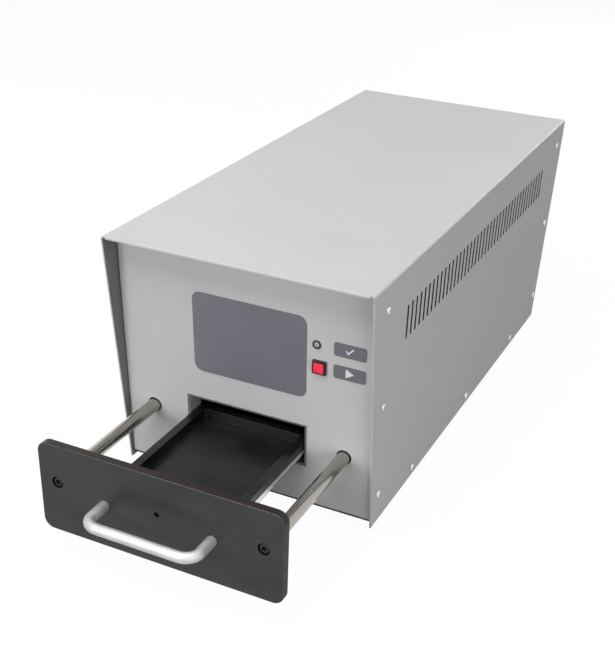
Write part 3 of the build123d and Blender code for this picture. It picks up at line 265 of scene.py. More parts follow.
panel_low, panel_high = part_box("front_panel")
panel_middle = (panel_low + panel_high) / 2
panel_sheet = 0.002
fold_depth = 0.018
fold_reach = 0.004
front = block("front_sheet", panel_middle, panel_high - panel_low)
for edge_z in (panel_low.z, panel_high.z):
    for rear, depth, start_y in ((False, 0, panel_low.y), (True, fold_depth, panel_high.y)):
        pick(
            front, "VERT",
            lambda spot, way: abs(spot.z - edge_z) < near and (spot.y > panel_middle.y) == rear,
        )
        bpy.ops.transform.translate(value=(0, panel_y(edge_z) + depth - start_y, 0))
pick(front, "FACE", lambda spot, way: way.y > along)
bpy.ops.mesh.delete(type="FACE")
pick(front, "EDGE", lambda spot, way: abs(way.z) > along and spot.y < panel_y(panel_middle.z) + fold_reach)
bevel(width=0.0018, segments=5)
pick(front, "EDGE", lambda spot, way: abs(way.x) > along and spot.y < panel_y(spot.z) + fold_reach)
bevel(width=0.0012, segments=3)
thicken(front, panel_sheet)
rod_low, rod_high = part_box("guide_rod_right")
rod_x = (rod_low.x + rod_high.x) / 2
rod_z = (rod_low.z + rod_high.z) / 2
mouth_width = 0.127
mouth_height = 0.046
punch_depth = 0.02
lamp_x = 0.0723
lamp_z = 0.1895
button_x = 0.0755
button_z = 0.1678
button_hole = 0.012
cut_away(front, block("mouth_punch", (0, panel_y(rod_z), rod_z), (mouth_width, punch_depth, mouth_height)))
drill(front, [(x, panel_y(rod_z), rod_z) for x in (-rod_x, rod_x)], radius=0.00755, depth=0.008)
drill(front, [(lamp_x, panel_y(lamp_z), lamp_z)], radius=0.0032, depth=0.008)
button_spot = (button_x, panel_y(button_z), button_z)
cut_away(front, block("button_punch", button_spot, (button_hole, punch_depth, button_hole)))
round_edges(front, width=0.0002)
settle(front, "case", coat, angle=30)
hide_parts("front_panel")


# Feet: four blocks of black rubber, moulded with a taper, rounded edges and a matt skin,
# and stuck under the base pan.
rubber = finish(
    "foot_rubber", (0.018, 0.018, 0.018), (0.03, 0.03, 0.03),
    grain=90, rough=(0.7, 0.85), skin=(1500, 0.00004),
)


def join(pieces, name):
    """Make several pieces one."""
    take_up(pieces[0])
    for piece in pieces:
        piece.select_set(True)
    bpy.ops.object.join()
    pieces[0].name = name
    return pieces[0]


feet_low, feet_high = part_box("feet")
foot_side = 0.026
foot_taper = 0.86
feet = []
for x in (feet_low.x + foot_side / 2, feet_high.x - foot_side / 2):
    for y in (feet_low.y + foot_side / 2, feet_high.y - foot_side / 2):
        foot = block("foot", (x, y, feet_high.z / 2), (foot_side, foot_side, feet_high.z))
        pick(foot, "FACE", lambda spot, way: way.z < -along)
        bpy.ops.transform.resize(value=(foot_taper, foot_taper, 1))
        pick(foot, "EDGE", lambda spot, way: abs(way.z) > along)
        bevel(width=0.003, segments=5)
        feet.append(foot)
rubber_feet = join(feet, "rubber_feet")
round_edges(rubber_feet, width=0.0008)
settle(rubber_feet, "case", rubber)
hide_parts("feet")


# Plaque: a bare plate of dark printed foil, rounded at the corners,
# stuck on the front panel above the drawer mouth.
foil = finish(
    "plaque_foil", (0.158, 0.163, 0.188), (0.17, 0.175, 0.2),
    grain=25, rough=(0.42, 0.5), skin=(2200, 0.000006),
)
foil_sheet = 0.0004


def on_panel(x, z, out):
    """Point in front of the front panel, out from its face."""
    return Vector((x, panel_y(z) - out * cos(panel_tilt), z - out * sin(panel_tilt)))


def foil_plate(name, x, z, width, height, corner):
    """Thin rounded foil on the front panel."""
    plate = block(name, on_panel(x, z, foil_sheet / 2), (width, foil_sheet, height), (panel_tilt, 0, 0))
    pick(plate, "EDGE", lambda spot, way: abs(way.y) > along)
    bevel(corner, segments=10)
    round_edges(plate, width=0.0001)
    settle(plate, "case", foil)


foil_plate("plaque", x=0.0048, z=0.1728, width=0.1155, height=0.082, corner=0.0085)


# Labels beside the lamp and the button: plates of the same foil, each with one plain mark printed on it
# in white, a tick for the lamp and a triangle for the button.
print_white = finish(
    "printed_white", (0.78, 0.78, 0.78), (0.84, 0.84, 0.84),
    grain=300, rough=(0.45, 0.55), skin=(2500, 0.000004),
)
ready_z = 0.1898
start_z = 0.1676
for name, z in (("ready_label", ready_z), ("start_label", start_z)):
    foil_plate(name, x=0.10415, z=z, width=0.031, height=0.0135, corner=0.0026)
ink = 0.0002
ink_out = 0.00042
stroke = 0.0013
short_size = (0.0042, ink, stroke)
long_size = (0.0093, ink, stroke)
short_middle = on_panel(x=0.1015, z=0.1886, out=ink_out)
long_middle = on_panel(x=0.105, z=0.1904, out=ink_out)
tick = block("ready_mark", short_middle, short_size, (panel_tilt, pi / 4, 0))
long_stroke = block("long_stroke", long_middle, long_size, (panel_tilt, -pi / 4, 0))
join([tick, long_stroke], "ready_mark")
round_edges(tick, width=0.00005)
settle(tick, "case", print_white)
put_down()
bpy.ops.mesh.primitive_cylinder_add(vertices=3, radius=0.0052, depth=ink, rotation=(0, 0, -pi / 2))
triangle = bpy.context.object
triangle.name = "start_mark"
fix_place()
pick(triangle, "EDGE", lambda spot, way: abs(way.z) > along)
bevel(width=0.0006, segments=3)
take_up(triangle)
triangle.rotation_euler = (pi / 2 + panel_tilt, 0, 0)
triangle.location = on_panel(x=0.103, z=start_z, out=ink_out)
fix_place()
settle(triangle, "case", print_white)


# Lamp: a clear moulded rod with a domed end that leads light through the panel,
# in a black moulded ring on the outside.
black = finish(
    "moulded_black", (0.012, 0.012, 0.013), (0.022, 0.022, 0.023),
    grain=60, rough=(0.36, 0.5), skin=(1800, 0.00002),
)


def panel_disc(name, x, z, start, radius):
    """Filled circle at the front panel, facing out, ready to be drawn up."""
    put_down()
    bpy.ops.mesh.primitive_circle_add(
        vertices=48,
        radius=radius,
        fill_type="NGON",
        location=on_panel(x, z, start),
        rotation=(pi / 2 + panel_tilt, 0, 0),
    )
    disc = bpy.context.object
    disc.name = name
    fix_place()
    return disc


def draw(step):
    """Extrude what is selected by one step."""
    bpy.ops.mesh.extrude_region_move(TRANSFORM_OT_translate={"value": step})


def draw_up(distance):
    """Extrude the selected face of a panel fitting straight out of the panel, or in where negative."""
    draw((0, -distance * cos(panel_tilt), -distance * sin(panel_tilt)))


def everything(spot, way):
    """Wanted in a pick: all of the piece."""
    return True


ring_out = 0.0014
ring_wall = 0.0012
ring_well = 0.0012
ring = panel_disc("lamp_ring", lamp_x, lamp_z, start=0, radius=0.0041)
pick(ring, "FACE", everything)
draw_up(ring_out)
bpy.ops.mesh.inset(thickness=ring_wall)
draw_up(-ring_well)
round_edges(ring, width=0.0003, segments=3)
settle(ring, "case", black)
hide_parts("lamp_bezel")
clear = finish(
    "clear_lens", (0.5, 0.51, 0.51), (0.6, 0.61, 0.61),
    grain=200, rough=(0.12, 0.22), skin=(900, 0.00003),
)
tune(clear, "Transmission Weight", 0.35)
tune(clear, "IOR", 1.49)
lens_radius = 0.0028
lens_length = 0.012
lens_out = 0.0018
lens_rod = panel_disc("lamp_lens_rod", lamp_x, lamp_z, start=lens_out - lens_length, radius=lens_radius)
pick(lens_rod, "FACE", everything)
draw_up(lens_length)
lens_tip = on_panel(lamp_x, lamp_z, lens_out)
pick(
    lens_rod, "EDGE",
    lambda spot, way: abs(way.y) < across and (spot - lens_tip).length < lens_radius + near / 2,
)
bevel(width=0.0014, segments=6)
settle(lens_rod, "case", clear, angle=50)
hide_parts("lamp_lens")


# Start button: a square black bezel snapped into the panel, with a red moulded cap that slides in it and has
# a faint painted glow.
# The switch body is behind the panel.
def faces_front(spot, way):
    """Wanted in a pick: faces that look to the front."""
    return way.y < -along


bezel_side = 0.0132
bezel_out = 0.003
bezel_wall = 0.00195
bezel_well = 0.0105
neck_step = 0.0007
neck_length = 0.01
bezel_size = (bezel_side, bezel_out, bezel_side)
bezel = block("start_bezel", on_panel(button_x, button_z, bezel_out / 2), bezel_size, (panel_tilt, 0, 0))
pick(bezel, "FACE", faces_front)
bpy.ops.mesh.inset(thickness=bezel_wall)
draw_up(-bezel_well)
pick(bezel, "FACE", lambda spot, way: way.y > along)
bpy.ops.mesh.inset(thickness=neck_step)
draw_up(-neck_length)
round_edges(bezel, width=0.0003)
settle(bezel, "case", black)
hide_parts("button_bezel")
red = finish(
    "cap_red_painted_glow", (0.84, 0.034, 0.085), (0.94, 0.046, 0.11),
    grain=130, rough=(0.24, 0.34), skin=(700, 0.00002),
)
# The emission is painted light: the cap glows a little, though nothing in it is lit.
tune(red, "Emission Color", (0.9, 0.03, 0.08, 1))
tune(red, "Emission Strength", 0.25)
tune(red, "Subsurface Weight", 0.25)
tune(red, "Subsurface Scale", 0.002)
cap_size = (0.009, 0.008, 0.009)
cap_border = 0.0012
cap_crown = 0.0001
cap = block("start_cap", on_panel(button_x, button_z, 0), cap_size, (panel_tilt, 0, 0))
pick(cap, "FACE", faces_front)
bpy.ops.mesh.inset(thickness=cap_border)
draw_up(cap_crown)
round_edges(cap, width=0.0005, segments=3)
settle(cap, "start_button", red)
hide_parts("button_cap")
dress(black, "button_switch")


# Coil: a former of black paper laminate in two saddles, wound with enamelled copper wire.
# In the drawer mouth its nose and lead-in are a paler grey as a painted highlight, and its inner side walls
# paler still as painted light.
# The control board stands over it on a shelf.
laminate = finish(
    "laminate_face", (0.003, 0.0032, 0.004), (0.0165, 0.0168, 0.019),
    grain=20, rough=(0.27, 0.55), skin=(700, 0.000015), stretch=(0.6, 1, 1.6),
)
dress(laminate, "coil_saddles", "capacitor_cradle")
# Paler grey on the nose and lead-in: a painted highlight where the edge catches light.
nose_highlight = finish(
    "nose_painted_highlight", (0.1, 0.102, 0.11), (0.17, 0.173, 0.183),
    grain=90, rough=(0.45, 0.6), skin=(900, 0.00002),
)
# Paler grey on the bore's inner side walls: painted light on walls that sit in shade.
side_wall_light = finish(
    "side_wall_painted_light", (0.28, 0.285, 0.3), (0.37, 0.375, 0.39),
    grain=110, rough=(0.4, 0.55), skin=(900, 0.00002),
)
former_low, former_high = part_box("coil_former")
former_width = 0.134
former_height = 0.053
former_length = former_high.y - former_low.y
former_middle = Vector((0, (former_low.y + former_high.y) / 2, rod_z))
nose_step = 0.0037
nose_half_height = 0.0228
nose_recess = 0.0006
nose_start = 0.002
nose_wall = 0.0022
nose_reach = 0.016
bore_front = 0.02
bore_end_gap = 0.003
former = block("coil_tube", former_middle, (former_width, former_length, former_height))
pick(former, "FACE", faces_front)
bpy.ops.mesh.inset(thickness=nose_step)
draw((0, -nose_start, 0))
for level in (-1, 1):
    pick(former, "VERT", lambda spot, way: spot.y < former_low.y - near and (spot.z - rod_z) * level > 0)
    nose_y = panel_y(rod_z + level * nose_half_height) + nose_recess
    bpy.ops.transform.translate(value=(0, nose_y - former_low.y + nose_start, 0))
pick(former, "FACE", lambda spot, way: faces_front(spot, way) and spot.y < former_low.y - near)
bpy.ops.mesh.inset(thickness=nose_wall)
draw((0, bore_front, 0))
draw((0, former_length - bore_front - bore_end_gap, 0))
put_down()
for layer in (laminate, nose_highlight, side_wall_light):
    former.data.materials.append(layer)
# Nose and lead-in faces take the painted highlight; inward-facing side walls take the painted light.
for face in former.data.polygons:
    in_width = abs(face.center.x) < former_width / 2 - near
    in_height = abs(face.center.z - rod_z) < former_height / 2 - near
    if in_width and in_height and face.center.y < former_low.y + nose_reach:
        looks_inwards = face.normal.x * face.center.x < -0.01
        face.material_index = 2 if looks_inwards else 1
flange_sheet = 0.006
flange_set = 0.011
flange_size = (former_high.x - former_low.x, flange_sheet, former_high.z - former_low.z)
flange_z = (former_low.z + former_high.z) / 2
for flange_y in (former_low.y + flange_set, former_high.y - flange_sheet / 2):
    flange = block("coil_flange", (0, flange_y, flange_z), flange_size)
    pick(flange, "EDGE", lambda spot, way: abs(way.y) > along)
    bevel(width=0.008, segments=1)
    cut_away(flange, block("flange_hole", (0, flange_y, rod_z), (former_width, punch_depth, former_height)))
    join([former, flange], "coil_tube")
round_edges(former, width=0.0003)
settle(former, "case", laminate)
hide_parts("coil_former")
wire = finish(
    "enamelled_wire", (0.16, 0.045, 0.015), (0.42, 0.14, 0.05),
    grain=8, rough=(0.25, 0.4), skin=(20, 0.0004), metallic=0.7, stretch=(1, 60, 1),
)
dress(wire, "coil_winding", "transformer_winding")
board_green = finish(
    "board_green", (0.012, 0.09, 0.035), (0.02, 0.16, 0.06),
    grain=160, rough=(0.3, 0.45), skin=(900, 0.00003),
)
dress(board_green, "control_board")
dress(black, "board_parts")


# Rod guides: two pillow blocks milled from white acetal and bored for the rods.
# They stand on the base pan, one on each side of the coil.
acetal = finish(
    "acetal", (0.7, 0.7, 0.67), (0.78, 0.78, 0.75),
    grain=50, rough=(0.35, 0.45), skin=(700, 0.00002),
)
dress(acetal, "rod_guide_left", "rod_guide_right")


# Guide rods: ground steel bar, cut to length and chamfered, screwed to the back of the drawer front.
# A black collar near each rear end stops the drawer against the guides.
steel = finish(
    "ground_steel", (0.38, 0.358, 0.33), (0.45, 0.428, 0.4),
    grain=90, rough=(0.17, 0.25), skin=(90, 0.0000008), metallic=1.0, stretch=(1, 20, 1),
)


def round_bar(name, middle, radius, length, sides):
    """Round bar from front to rear, ready for shaping."""
    put_down()
    bpy.ops.mesh.primitive_cylinder_add(
        vertices=sides, radius=radius, depth=length, location=middle, rotation=(pi / 2, 0, 0)
    )
    piece = bpy.context.object
    piece.name = name
    fix_place()
    return piece


for node, name in (("guide_rod_left", "drawer_rod_left"), ("guide_rod_right", "drawer_rod_right")):
    low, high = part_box(node)
    rod = round_bar(name, (low + high) / 2, radius=0.00635, length=high.y - low.y, sides=72)
    pick(rod, "EDGE", lambda spot, way: abs(way.y) < across and spot.y > high.y - hair)
    bevel(width=0.001, segments=2)
    settle(rod, "drawer", steel)
    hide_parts(node)
blackened = finish(
    "black_oxide", (0.02, 0.018, 0.017), (0.05, 0.045, 0.042),
    grain=150, rough=(0.3, 0.45), skin=(1500, 0.00001), metallic=0.8,
)
dress(blackened, "rod_collars")


# Drawer front: a board sawn from black paper laminate, corners rounded, edges broken, pockets drilled
# for the two rod screws and one small hole for the tray's stud. Its sawn edges show brown layers.
plate_low, plate_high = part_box("drawer_front")
plate_middle = (plate_low + plate_high) / 2
plate_half = (plate_high - plate_low) / 2
plate_corner = 0.01
plate = block("drawer_board", plate_middle, plate_high - plate_low)
pick(plate, "EDGE", lambda spot, way: abs(way.y) > along)
bevel(plate_corner, segments=12)
pick(plate, "EDGE", lambda spot, way: abs(way.y) < across and spot.y < plate_middle.y)
bevel(width=0.0008, segments=3)
pick(plate, "EDGE", lambda spot, way: abs(way.y) < across and spot.y > plate_high.y - hair)
bevel(width=0.0004, segments=2)
drill(plate, [(x, plate_low.y, rod_z) for x in (-rod_x, rod_x)], radius=0.00575, depth=0.005)
drill(plate, [(0, plate_low.y, rod_z)], radius=0.0026, depth=0.02)
layers = finish(
    "laminate_edge", (0.004, 0.0027, 0.0025), (0.02, 0.012, 0.0096),
    grain=30, rough=(0.42, 0.6), skin=(40, 0.00008), stretch=(3, 45, 3),
)
tune(layers, "Specular IOR Level", 0.25)
# Lighter grey on the front arris: a painted highlight, the glint of the rounded edge.
arris_highlight = finish(
    "arris_painted_highlight", (0.02, 0.021, 0.025), (0.055, 0.057, 0.066),
    grain=120, rough=(0.35, 0.5), skin=(900, 0.00001),
)
for layer in (laminate, layers, arris_highlight):
    plate.data.materials.append(layer)
rim_depth = 0.0006
edge_lean = 0.3
face_lean = 0.97
for face in plate.data.polygons:
    away = face.center - plate_middle
    at_end = abs(away.x) > plate_half.x - plate_corner - rim_depth
    on_rim = at_end or abs(away.z) > plate_half.z - rim_depth
    if on_rim and abs(face.normal.y) < edge_lean:
        face.material_index = 1
    # Faces on the front arris get the painted highlight.
    if on_rim and -face_lean < face.normal.y < -edge_lean:
        face.material_index = 2
settle(plate, "drawer", laminate, angle=30)
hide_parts("drawer_front")


# Rod screws: socket heads of blackened steel at the bottom of their pockets, their sockets broached.
# They hold the rods to the drawer front.
def socket_screw(x):
    """Socket head in the pocket at x, with a six-sided socket."""
    head_sink = 0.001
    head_height = 0.004
    head_middle = (x, plate_low.y + head_sink + head_height / 2, rod_z)
    screw = round_bar("rod_screw", head_middle, radius=0.0045, length=head_height, sides=48)
    pick(screw, "EDGE", lambda spot, way: abs(way.y) < across and spot.y < plate_low.y + head_sink + hair)
    bevel(width=0.0006, segments=3)
    drill(screw, [(x, plate_low.y + head_sink, rod_z)], radius=0.0026, depth=0.002, sides=6)
    round_edges(screw, width=0.00015)
    apply_modifiers(screw)
    return screw


rod_screws = join([socket_screw(rod_x), socket_screw(-rod_x)], "rod_screw_heads")
settle(rod_screws, "drawer", blackened)
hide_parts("rod_screws")


# Bow handle: round aluminium bar, bent twice and satin anodised, screwed on from behind.
# The heatsink and the bleed resistors' housings have the same finish.
anodised = finish(
    "satin_anodised", (0.48, 0.48, 0.49), (0.54, 0.54, 0.55),
    grain=70, rough=(0.58, 0.64), skin=(2200, 0.000008), metallic=1.0,
)
bar_low, bar_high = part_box("drawer_handle")
bar_radius = (bar_high.z - bar_low.z) / 2
bar_z = (bar_low.z + bar_high.z) / 2
bend = 0.013
foot_x = bar_high.x - bar_radius
bend_x = foot_x - bend
straight = bar_high.y - bar_low.y - bar_radius - bend
put_down()
bpy.ops.mesh.primitive_circle_add(
    vertices=40,
    radius=bar_radius,
    fill_type="NGON",
    location=(-foot_x, bar_high.y, bar_z),
    rotation=(pi / 2, 0, 0),
)
handle = bpy.context.object
handle.name = "bow_handle"
fix_place()
pick(handle, "FACE", everything)
draw((0, -straight, 0))
for centre_x, run in ((-bend_x, (2 * bend_x, 0, 0)), (bend_x, (0, straight, 0))):
    bend_centre = (centre_x, bar_high.y - straight, bar_z)
    bpy.ops.mesh.spin(steps=14, angle=-pi / 2, center=bend_centre, axis=(0, 0, 1))
    draw(run)
bpy.ops.mesh.select_all(action="SELECT")
bpy.ops.mesh.remove_doubles(threshold=0.00001)
bpy.ops.mesh.normals_make_consistent(inside=False)
settle(handle, "drawer", anodised, angle=50)
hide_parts("drawer_handle")
dress(anodised, "heatsink", "bleed_resistors")


# Media tray: a laminate board with a milled pocket and a groove along each side for the slide strips,
# held to the drawer front by one stud.
tray_low, tray_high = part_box("media_tray")
tray_middle = (tray_low + tray_high) / 2
pocket_width = 0.1035
pocket_length = 0.15
pocket_depth = 0.0095
pocket_start = 0.012
cutter_height = 0.02
pocket_y = tray_low.y + pocket_start + pocket_length / 2
pocket_z = tray_high.z - pocket_depth + cutter_height / 2
groove_height = 0.005
groove_depth = 0.003
groove_rise = 0.004
groove_middle = (0, tray_middle.y, tray_low.z + groove_rise)
tray = block("media_tray_board", tray_middle, tray_high - tray_low)
pocket = block("pocket_cutter", (0, pocket_y, pocket_z), (pocket_width, pocket_length, cutter_height))
pick(pocket, "EDGE", lambda spot, way: abs(way.z) > along)
bevel(width=0.003, segments=6)
cutter_width = 0.2
cutter_length = 0.3
core_width = 2 * (tray_high.x - groove_depth)
core_length = 0.4
grooves = block("groove_cutter", groove_middle, (cutter_width, cutter_length, groove_height))
cut_away(grooves, block("groove_core", groove_middle, (core_width, core_length, cutter_height)))
cut_away(tray, pocket)
cut_away(tray, grooves)
round_edges(tray, width=0.0004)
settle(tray, "drawer", laminate)
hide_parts("media_tray")


# Slide strips: bright steel strips pressed into the tray's grooves, their rear corners rounded
# and their edges broken.
strip_low, strip_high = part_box("tray_slides")
strip_width = 0.0035
strip_length = 0.17
strip_size = (strip_width, strip_length, strip_high.z - strip_low.z)
strips = []
for x in (strip_high.x - strip_width / 2, strip_low.x + strip_width / 2):
    strip = block("slide_strip", (x, tray_middle.y, (strip_low.z + strip_high.z) / 2), strip_size)
    pick(strip, "EDGE", lambda spot, way: abs(way.z) > along and spot.y > tray_middle.y)
    bevel(width=0.0009, segments=2)
    strips.append(strip)
slide_strips = join(strips, "slide_strips")
round_edges(slide_strips, width=0.0003)
bright = finish(
    "bright_strip", (0.68, 0.67, 0.65), (0.8, 0.79, 0.77),
    grain=50, rough=(0.18, 0.3), skin=(80, 0.00001), metallic=1.0, stretch=(1, 0.1, 1),
)
settle(slide_strips, "drawer", bright)
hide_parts("tray_slides")
nickel = finish(
    "nickel_plate", (0.6, 0.58, 0.54), (0.78, 0.76, 0.72),
    grain=120, rough=(0.18, 0.3), skin=(900, 0.00002), metallic=1.0,
)
dress(nickel, "board_spacers")
dress(blackened, "tray_stud")


# Pulse circuit: capacitors in painted cans, copper bars and straps from them to the coil, the thyristor
# and the charging transformer, carried by the base pan. The drawer switch is on a post by the left rod.
can_paint = finish(
    "case_blue", (0.03, 0.045, 0.1), (0.045, 0.065, 0.13),
    grain=20, rough=(0.35, 0.5), skin=(900, 0.00002),
)
dress(can_paint, "capacitors")
copper = finish(
    "copper_strap", (0.5, 0.2, 0.1), (0.66, 0.3, 0.17),
    grain=60, rough=(0.22, 0.38), skin=(200, 0.00002), metallic=1.0,
)
dress(copper, "bus_bars", "coil_leads")
laminations = finish(
    "laminations", (0.09, 0.085, 0.08), (0.17, 0.16, 0.15),
    grain=12, rough=(0.4, 0.55), skin=(12, 0.0003), metallic=0.8, stretch=(1, 70, 1),
)
dress(laminations, "transformer_core")
dress(black, "drawer_switch", "thyristor")


# Fan: a moulded black frame behind the rear panel's grille, with its rotor on the motor's shaft.
# The frame is held by four screws through the panel.
dress(black, "fan_frame", "fan_rotor")


# Mains inlet: a moulded black socket snapped into the rear panel, with three plated pins.
# Its edges are broken as they leave the mould.
def soften(node, name, width):
    """Copy of a CAD node, its flat faces made whole again and its edges broken."""
    piece = bpy.data.objects.new(name, nodes[node].data.copy())
    bpy.context.scene.collection.objects.link(piece)
    piece.data.materials.clear()
    pick(piece, "FACE", everything)
    bpy.ops.mesh.remove_doubles(threshold=0.000002)
    bpy.ops.mesh.dissolve_limited(angle_limit=radians(1))
    round_edges(piece, width)
    apply_modifiers(piece)
    return piece


rear_out = Vector((0, cos(panel_tilt), -sin(panel_tilt)))
rear_up = Vector((0, sin(panel_tilt), cos(panel_tilt)))


def on_rear(x, z):
    """Point on the rear panel's outer face."""
    return Vector((x, cover_low.y + cover_high.y - panel_y(z), z))


inlet_x = 0.062
inlet_centre = on_rear(inlet_x, z=0.076)
pin_spots = ((0, 0.002), (-0.007, -0.002), (0.007, -0.002))
pin_half_width = 0.0013
pin_half_height = 0.0023
pin_root = -0.0133
pin_tip = -0.0015
inlet = soften("mains_inlet", "inlet_socket", width=0.0003)
inlet.data.materials.append(black)
inlet.data.materials.append(nickel)
for face in inlet.data.polygons:
    away = face.center - inlet_centre
    in_well = pin_root < away.dot(rear_out) < pin_tip
    for pin_x, pin_up in pin_spots:
        on_pin = abs(away.x - pin_x) < pin_half_width and abs(away.dot(rear_up) - pin_up) < pin_half_height
        if in_well and on_pin:
            face.material_index = 1
settle(inlet, "case", black)
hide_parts("mains_inlet")


# Power rocker: a glossy black rocker on a pin in a moulded frame, marked with a bar and a ring.
# The frame snaps into the rear panel above the inlet.
rocker_frame = soften("rocker_frame", "rocker_surround", width=0.0003)
settle(rocker_frame, "case", black)
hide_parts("rocker_frame")
gloss_black = finish(
    "gloss_black", (0.01, 0.01, 0.011), (0.018, 0.018, 0.019),
    grain=70, rough=(0.18, 0.28), skin=(1500, 0.00001),
)
rocker = soften("power_rocker", "rocker_key", width=0.0004)
settle(rocker, "rocker", gloss_black, angle=25)
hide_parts("power_rocker")
rocker_centre = on_rear(inlet_x, z=0.12)
mark_reach = 0.03
for name, mark_x in (("rocker_bar", -0.006), ("rocker_ring", 0.006)):
    above = rocker_centre + Vector((mark_x, 0, 0)) + rear_out * mark_reach
    seat, facing = rocker.ray_cast(above, -rear_out)[1:3]
    put_down()
    if name == "rocker_bar":
        bpy.ops.mesh.primitive_cube_add(size=1, scale=(0.0006, 0.0042, 0.00016))
    else:
        bpy.ops.mesh.primitive_torus_add(
            major_segments=32, minor_segments=8, major_radius=0.0016, minor_radius=0.0003
        )
        bpy.context.object.scale = (0.8, 1.15, 0.28)
    mark = bpy.context.object
    mark.name = name
    fix_place()
    upright = Matrix((rear_up.cross(facing), rear_up, facing)).transposed().to_4x4()
    mark.matrix_world = Matrix.Translation(seat) @ upright
    fix_place()
    if name == "rocker_bar":
        round_edges(mark, width=0.00004)
    settle(mark, "rocker", print_white)


# Cover: one sheet of steel folded over the top and down both sides, slots punched in the sides, ends cut to a
# slant, a narrow lip folded down at the front and rear, then powder coated. Its slot walls and inside carry
# painted shade, and its cut rim a painted light tone.
cover_sheet = 0.0015
cover_middle = (cover_low + cover_high) / 2
end_slant = 0.029
lip_height = 0.0024
lip_gap = 0.003
lip_end = cover_high.x - cover_sheet - lip_gap
cover = block("cover_shell", cover_middle, cover_high - cover_low)
pick(cover, "FACE", lambda spot, way: way.z < -along or abs(way.y) > along)
bpy.ops.mesh.delete(type="FACE")
for end_y, inward in ((cover_low.y, end_slant), (cover_high.y, -end_slant)):
    pick(cover, "VERT", lambda spot, way: spot.z < cover_middle.z and abs(spot.y - end_y) < near)
    bpy.ops.transform.translate(value=(0, inward, 0))
pick(cover, "EDGE", lambda spot, way: abs(way.y) > along and spot.z > cover_middle.z)
bevel(width=0.0025, segments=6)
for x in (-lip_end, lip_end):
    pick(cover, "FACE", lambda spot, way: way.z > 0.99)
    bpy.ops.mesh.bisect(plane_co=(x, 0, 0), plane_no=(1, 0, 0))


def pick_lip(end_y, lowest):
    """Select the edges along the lip at one end of the cover, from a lowest height up."""
    pick(
        cover, "EDGE",
        lambda spot, way: abs(way.x) > along
        and abs(spot.x) < lip_end / 2
        and abs(spot.y - end_y) < near
        and spot.z > lowest,
    )


for end_y in (cover_low.y, cover_high.y):
    pick_lip(end_y, lowest=cover_low.z)
    draw((0, 0, -lip_height))
    pick_lip(end_y, lowest=cover_high.z - near)
    bevel(width=0.0008, segments=3)
put_down()
# Near black on the slot walls: painted shade, the dark of the inside seen through the slots.
slot_wall_shade = finish(
    "slot_wall_painted_shade", (0.022, 0.022, 0.022), (0.04, 0.04, 0.04),
    grain=200, rough=(0.5, 0.7), skin=(900, 0.00002),
)
# Dark grey on the cover's inside faces: painted shade.
inside_painted_shade = finish(
    "inside_painted_shade", (0.155, 0.155, 0.155), (0.185, 0.185, 0.185),
    grain=12, rough=(0.5, 0.6), skin=(1100, 0.00001),
)
# Own grey on the sheet's cut rim, set to how bright the lit edge looks: painted light.
rim_painted_light = finish(
    "rim_painted_light", (0.44, 0.445, 0.445), (0.52, 0.525, 0.525),
    grain=60, rough=(0.35, 0.45), skin=(1100, 0.00001),
)
for layer in (coat, slot_wall_shade, inside_painted_shade, rim_painted_light):
    cover.data.materials.append(layer)
thicken(cover, cover_sheet, inside=2, rim=3)
slot_count = 41
slot_pitch = 0.01073
slot_width = 0.004
slot_length = 0.033
slot_drop = 0.056
slot_z = cover_high.z - slot_drop
row_half = (slot_count - 1) / 2 * slot_pitch
punch_width = 0.3
slots = block("slot_punch", (0, cover_middle.y - row_half, slot_z), (punch_width, slot_width, slot_length))
row = slots.modifiers.new("row", "ARRAY")
row.count = slot_count
row.use_relative_offset = False
row.use_constant_offset = True
row.constant_offset_displace = (0, slot_pitch, 0)
apply_modifiers(slots)
cut_away(cover, slots)
# Slot walls take the painted shade.
for face in cover.data.polygons:
    in_length = abs(face.center.z - slot_z) < slot_length / 2 + hair
    in_row = abs(face.center.y - cover_middle.y) < row_half + slot_width / 2 + hair
    in_side = abs(face.center.x) > cover_high.x - 2 * cover_sheet
    if in_length and in_row and in_side and abs(face.normal.x) < across:
        face.material_index = 1
round_edges(cover, width=0.00015)
settle(cover, "case", coat, angle=30)
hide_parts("cover")


# Cover screws: nickel-plated pan heads with a cross recess, which hold the cover to the panels
# by a column at each end and to the base pan by a row below.
head_height = 0.002
put_down()
bpy.ops.mesh.primitive_cylinder_add(
    vertices=28, radius=0.003, depth=head_height, location=(0, 0, head_height / 2)
)
head = bpy.context.object
fix_place()
pick(head, "EDGE", lambda spot, way: abs(way.z) < across and spot.z > head_height - hair)
bevel(width=0.0012, segments=5)
recess_length = 0.0028
recess_width = 0.0006
blade_height = 0.0022
for size_x, size_y in ((recess_length, recess_width), (recess_width, recess_length)):
    cut_away(head, block("recess_blade", (0, 0, head_height), (size_x, size_y, blade_height)))


def lay_screws(name, seats, replaced):
    """Copies of the screw head on their seats, each turned as it was left, made one piece."""
    turns = random.Random(7)
    copies = []
    for seat, facing in seats:
        copy = head.copy()
        copy.data = head.data.copy()
        bpy.context.scene.collection.objects.link(copy)
        upright = Vector(facing).to_track_quat("Z", "Y").to_matrix().to_4x4()
        copy.matrix_world = Matrix.Translation(seat) @ upright @ Matrix.Rotation(turns.uniform(0, pi), 4, "Z")
        take_up(copy)
        fix_place()
        copies.append(copy)
    screws = join(copies, name)
    settle(screws, "case", nickel, angle=40)
    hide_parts(replaced)


